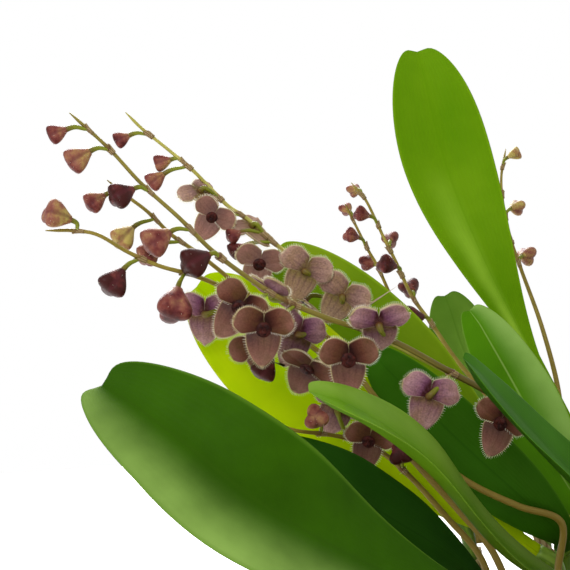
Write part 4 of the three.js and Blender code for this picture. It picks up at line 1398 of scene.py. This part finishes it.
# How far moss bulges out of a wall: only where there is a gap between two slats of that wall
def bulgeAt(x, y, z):
    height = basket["slatHeight"]
    layer = int(z // height)
    if layer < 1 or layer > basket["layers"] - 2:
        return 0
    frontOrBack = abs(y) > abs(x)
    if frontOrBack != (layer % 2 == 1):
        return 0
    off = (z - (layer + 0.5) * height) / (height / 2 - basket["gap"])
    return moss["bulge"] * math.sqrt(max(0, 1 - off * off))


def mossBody(bm):
    half = wallInside - basket["gap"]
    bottom = basket["slatHeight"] + basket["gap"]

    def topAt(u, v):
        x, y = (2 * u - 1) * half, (2 * v - 1) * half
        return Vector((x, y, mossHeight(x, y) + mossFuzz(Vector((x, y, 0))))) * mm

    addGrid(bm, moss["cells"], moss["cells"], topAt, mossSlots["damp"])
    rim = [edge for edge in bm.edges if edge.is_boundary]
    tops = {}
    for step in range(1, moss["wallSteps"] + 1):
        made = bmesh.ops.extrude_edge_only(bm, edges=rim)["geom"]
        rim = [item for item in made if isinstance(item, bmesh.types.BMEdge) and item.is_boundary]
        share = step / moss["wallSteps"]
        for vert in [item for item in made if isinstance(item, bmesh.types.BMVert)]:
            x, y = [min(max(c / mm, -half), half) for c in vert.co.xy]
            top = tops.setdefault((round(x, 3), round(y, 3)), mossHeight(x, y))
            z = top + (bottom - top) * share
            bulge = bulgeAt(x, y, z)
            out = 1 + bulge / half
            place = Vector((x * (out if abs(x) >= abs(y) else 1), y * (out if abs(y) >= abs(x) else 1), z))
            vert.co = place * mm
    bmesh.ops.holes_fill(bm, edges=rim)
    for face in bm.faces:
        face.smooth = True


def tuftMesh(kind):
    draw = random.Random(500 + kind)
    fibres = [mossSlots[colour] for colour in ("straw", "straw", "green")]
    bm = newShape()
    for _ in range(moss["strands"]):
        x, y = [draw.gauss(0, moss["tuftSpread"]) for _ in range(2)]
        place = Vector((x, y, -moss["tuftDepth"]))
        way = stray(draw, *moss["strandWay"]).normalized()
        path = [place.copy()]
        for _ in range(moss["strandSteps"]):
            place += way * draw.uniform(*moss["stepLength"])
            path.append(place.copy())
            way = (way + stray(draw, *moss["strandBend"])).normalized()
        thick = moss["strandRadius"] * draw.uniform(*moss["strandThickness"])
        addTube(bm, [p * mm for p in path], lambda share: mm * thick * (1.1 - 0.7 * share), 3,
                draw.choice(fibres))
    return meshFrom(bm, f"tuft_{kind}")


# Tufts stand on the top, and poke out of the gaps in the walls
def tuftPlaces(draw):
    half = wallInside - moss["tuftMargin"]
    for _ in range(moss["tufts"]):
        x, y = draw.uniform(-half, half), draw.uniform(-half, half)
        spot = Matrix.Translation(Vector((x, y, mossHeight(x, y) + 0.2)) * mm)
        yield spot @ Matrix.Rotation(draw.uniform(0, 6.28), 4, "Z")
    for _ in range(moss["sideTufts"]):
        layer = draw.randint(1, basket["layers"] - 2)
        z = (layer + draw.uniform(0.35, 0.65)) * basket["slatHeight"]
        along = draw.uniform(-half, half)
        out = draw.choice((-1, 1)) * (wallInside - 0.5)
        if layer % 2 == 1:
            place, angle = Vector((along, out, z)), 0 if out < 0 else math.pi
        else:
            place, angle = Vector((out, along, z)), math.pi / 2 if out > 0 else -math.pi / 2
        lean = Matrix.Rotation(angle, 4, "Z") @ Matrix.Rotation(math.pi / 2, 4, "X")
        yield Matrix.Translation(place * mm) @ lean @ Matrix.Diagonal(moss["sideTuftSize"])


def buildMoss():
    bm = newShape()
    mossBody(bm)
    kinds = [tuftMesh(kind) for kind in range(moss["tuftKinds"])]
    draw = random.Random(7)
    for i, spot in enumerate(tuftPlaces(draw)):
        tuft = kinds[i % len(kinds)]
        tuft.transform(spot)
        bm.from_mesh(tuft)
        tuft.transform(spot.inverted())
    materials = [
        mossMaterial("dampMoss", [(0.3, "#3d3a1c"), (0.7, "#8a8148"), (0.5, "#625f2c")]),
        mossMaterial("mossFibre", [(0.3, "#6f6a34"), (0.7, "#b5a870"), (0.5, "#8f8a4a")]),
        mossMaterial("greenFibre", [(0.3, "#4f6420"), (0.7, "#8c9a48"), (0.5, "#6b7f2e")]),
    ]
    finishPiece("mossFill", bm, materials, ["moss"])
    for tuft in kinds:
        bpy.data.meshes.remove(tuft)


buildMoss()
print("moss made")


# Basket

# A slat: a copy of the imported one, with worn edges
def buildSlat(node, materials):
    bm = bmesh.new()
    bm.from_mesh(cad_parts[node].data)
    bmesh.ops.remove_doubles(bm, verts=bm.verts, dist=basketWeld)
    bmesh.ops.dissolve_limit(bm, angle_limit=0.01, verts=bm.verts, edges=bm.edges)
    low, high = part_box(node)
    turned = high.y - low.y > high.x - low.x
    edges = [edge for edge in bm.edges if all(onCorner(vert.co, low, high) for vert in edge.verts)]
    bmesh.ops.bevel(bm, geom=edges, offset=basket["wornEdge"] * mm, segments=2, profile=0.5,
                    affect="EDGES", material=-1)
    for face in bm.faces:
        face.smooth = False
    finishPiece(f"woodSlat_{node[5:]}", bm, [materials["y" if turned else "x"]], [node])


def onCorner(place, low, high):
    return all(min(abs(place[i] - low[i]), abs(place[i] - high[i])) < 1e-5 for i in range(3))


# A rod: its outline, spun round its own middle, with a domed head
def buildRod(node, material):
    low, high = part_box(node)
    middle = Vector(((low.x + high.x) / 2, (low.y + high.y) / 2, 0))
    rod = basket["rodDiameter"] / 2
    head = basket["headDiameter"] / 2
    tall = basket["headHeight"]
    wall, rim, tip = basket["headWall"], basket["headChamfer"], basket["rodChamfer"]
    outline = [(0, basket["rodRecess"]), (rod - tip, basket["rodRecess"]), (rod, basket["rodRecess"] + tip),
               (rod, basketHeight), (head - rim, basketHeight), (head, basketHeight + rim)]
    outline += [(head * math.cos(a), basketHeight + wall + (tall - wall) * math.sin(a))
                for a in [math.pi / 2 * i / 7 for i in range(7)]]
    outline.append((0, basketHeight + tall))
    bm = bmesh.new()
    verts = [bm.verts.new(middle + Vector((r, 0, z)) * mm) for r, z in outline]
    edges = [bm.edges.new(pair) for pair in zip(verts, verts[1:])]
    bmesh.ops.spin(bm, geom=verts + edges, cent=middle, axis=up, angle=2 * math.pi, steps=32,
                   use_merge=True)
    bmesh.ops.remove_doubles(bm, verts=bm.verts, dist=basketWeld)
    for face in bm.faces:
        face.smooth = True
    finishPiece(f"steelRod_{node[4:]}", bm, [material], [node])


wood = {along: woodMaterial(f"sawnHardwood_{along}", along) for along in "xy"}
steel = galvanisedSteel()
for node in sorted(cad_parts):
    if node.startswith("slat_"):
        buildSlat(node, wood)
    elif node.startswith("rod_"):
        buildRod(node, steel)
print("basket made")

# Studio: a white surround, a pale floor, a large soft light from the front and one from behind
studio = {
    "surround": 1.0,
    "floor": 500,
    "lights": {
        "frontLight": {"place": (-250, -450, 500), "target": (-20, 0, 100), "size": 400, "power": 2.2},
        "backLight": {"place": (-150, 450, 420), "target": (-30, 0, 110), "size": 400, "power": 6},
    },
}


def paleFloor():
    material = newMaterial("paleFloor")
    skin = addNode(material, "BsdfPrincipled",
                   {"Base Color": linear("#f4f4f2"), "Roughness": 0.8, "Specular IOR Level": 0.2})
    addNode(material, "OutputMaterial", links={"Surface": skin})
    return material


def addLight(name, place, target, size, power):
    light = addObject(name, bpy.data.lights.new(name, "AREA"))
    light.data.shape = "DISK"
    light.data.size = size * mm
    light.data.energy = power
    light.location = Vector(place) * mm
    light.rotation_euler = (Vector(target) - Vector(place)).to_track_quat("-Z", "Y").to_euler()


def addStudio():
    bm = bmesh.new()
    bmesh.ops.create_circle(bm, cap_ends=True, segments=64, radius=studio["floor"] * mm)
    floor = addObject("floor", meshFrom(bm, "floor", [paleFloor()]))
    floor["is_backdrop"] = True
    world = bpy.data.worlds.new("surround")
    world.use_nodes = True
    background = world.node_tree.nodes["Background"]
    background.inputs["Color"].default_value = (1, 1, 1, 1)
    background.inputs["Strength"].default_value = studio["surround"]
    bpy.context.scene.world = world
    for name, light in studio["lights"].items():
        addLight(name, **light)
    bpy.context.scene.view_settings.view_transform = "Standard"


addStudio()
print("studio set")

boxes = [[list(corner) for corner in box] for box in (cadBox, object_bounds())]
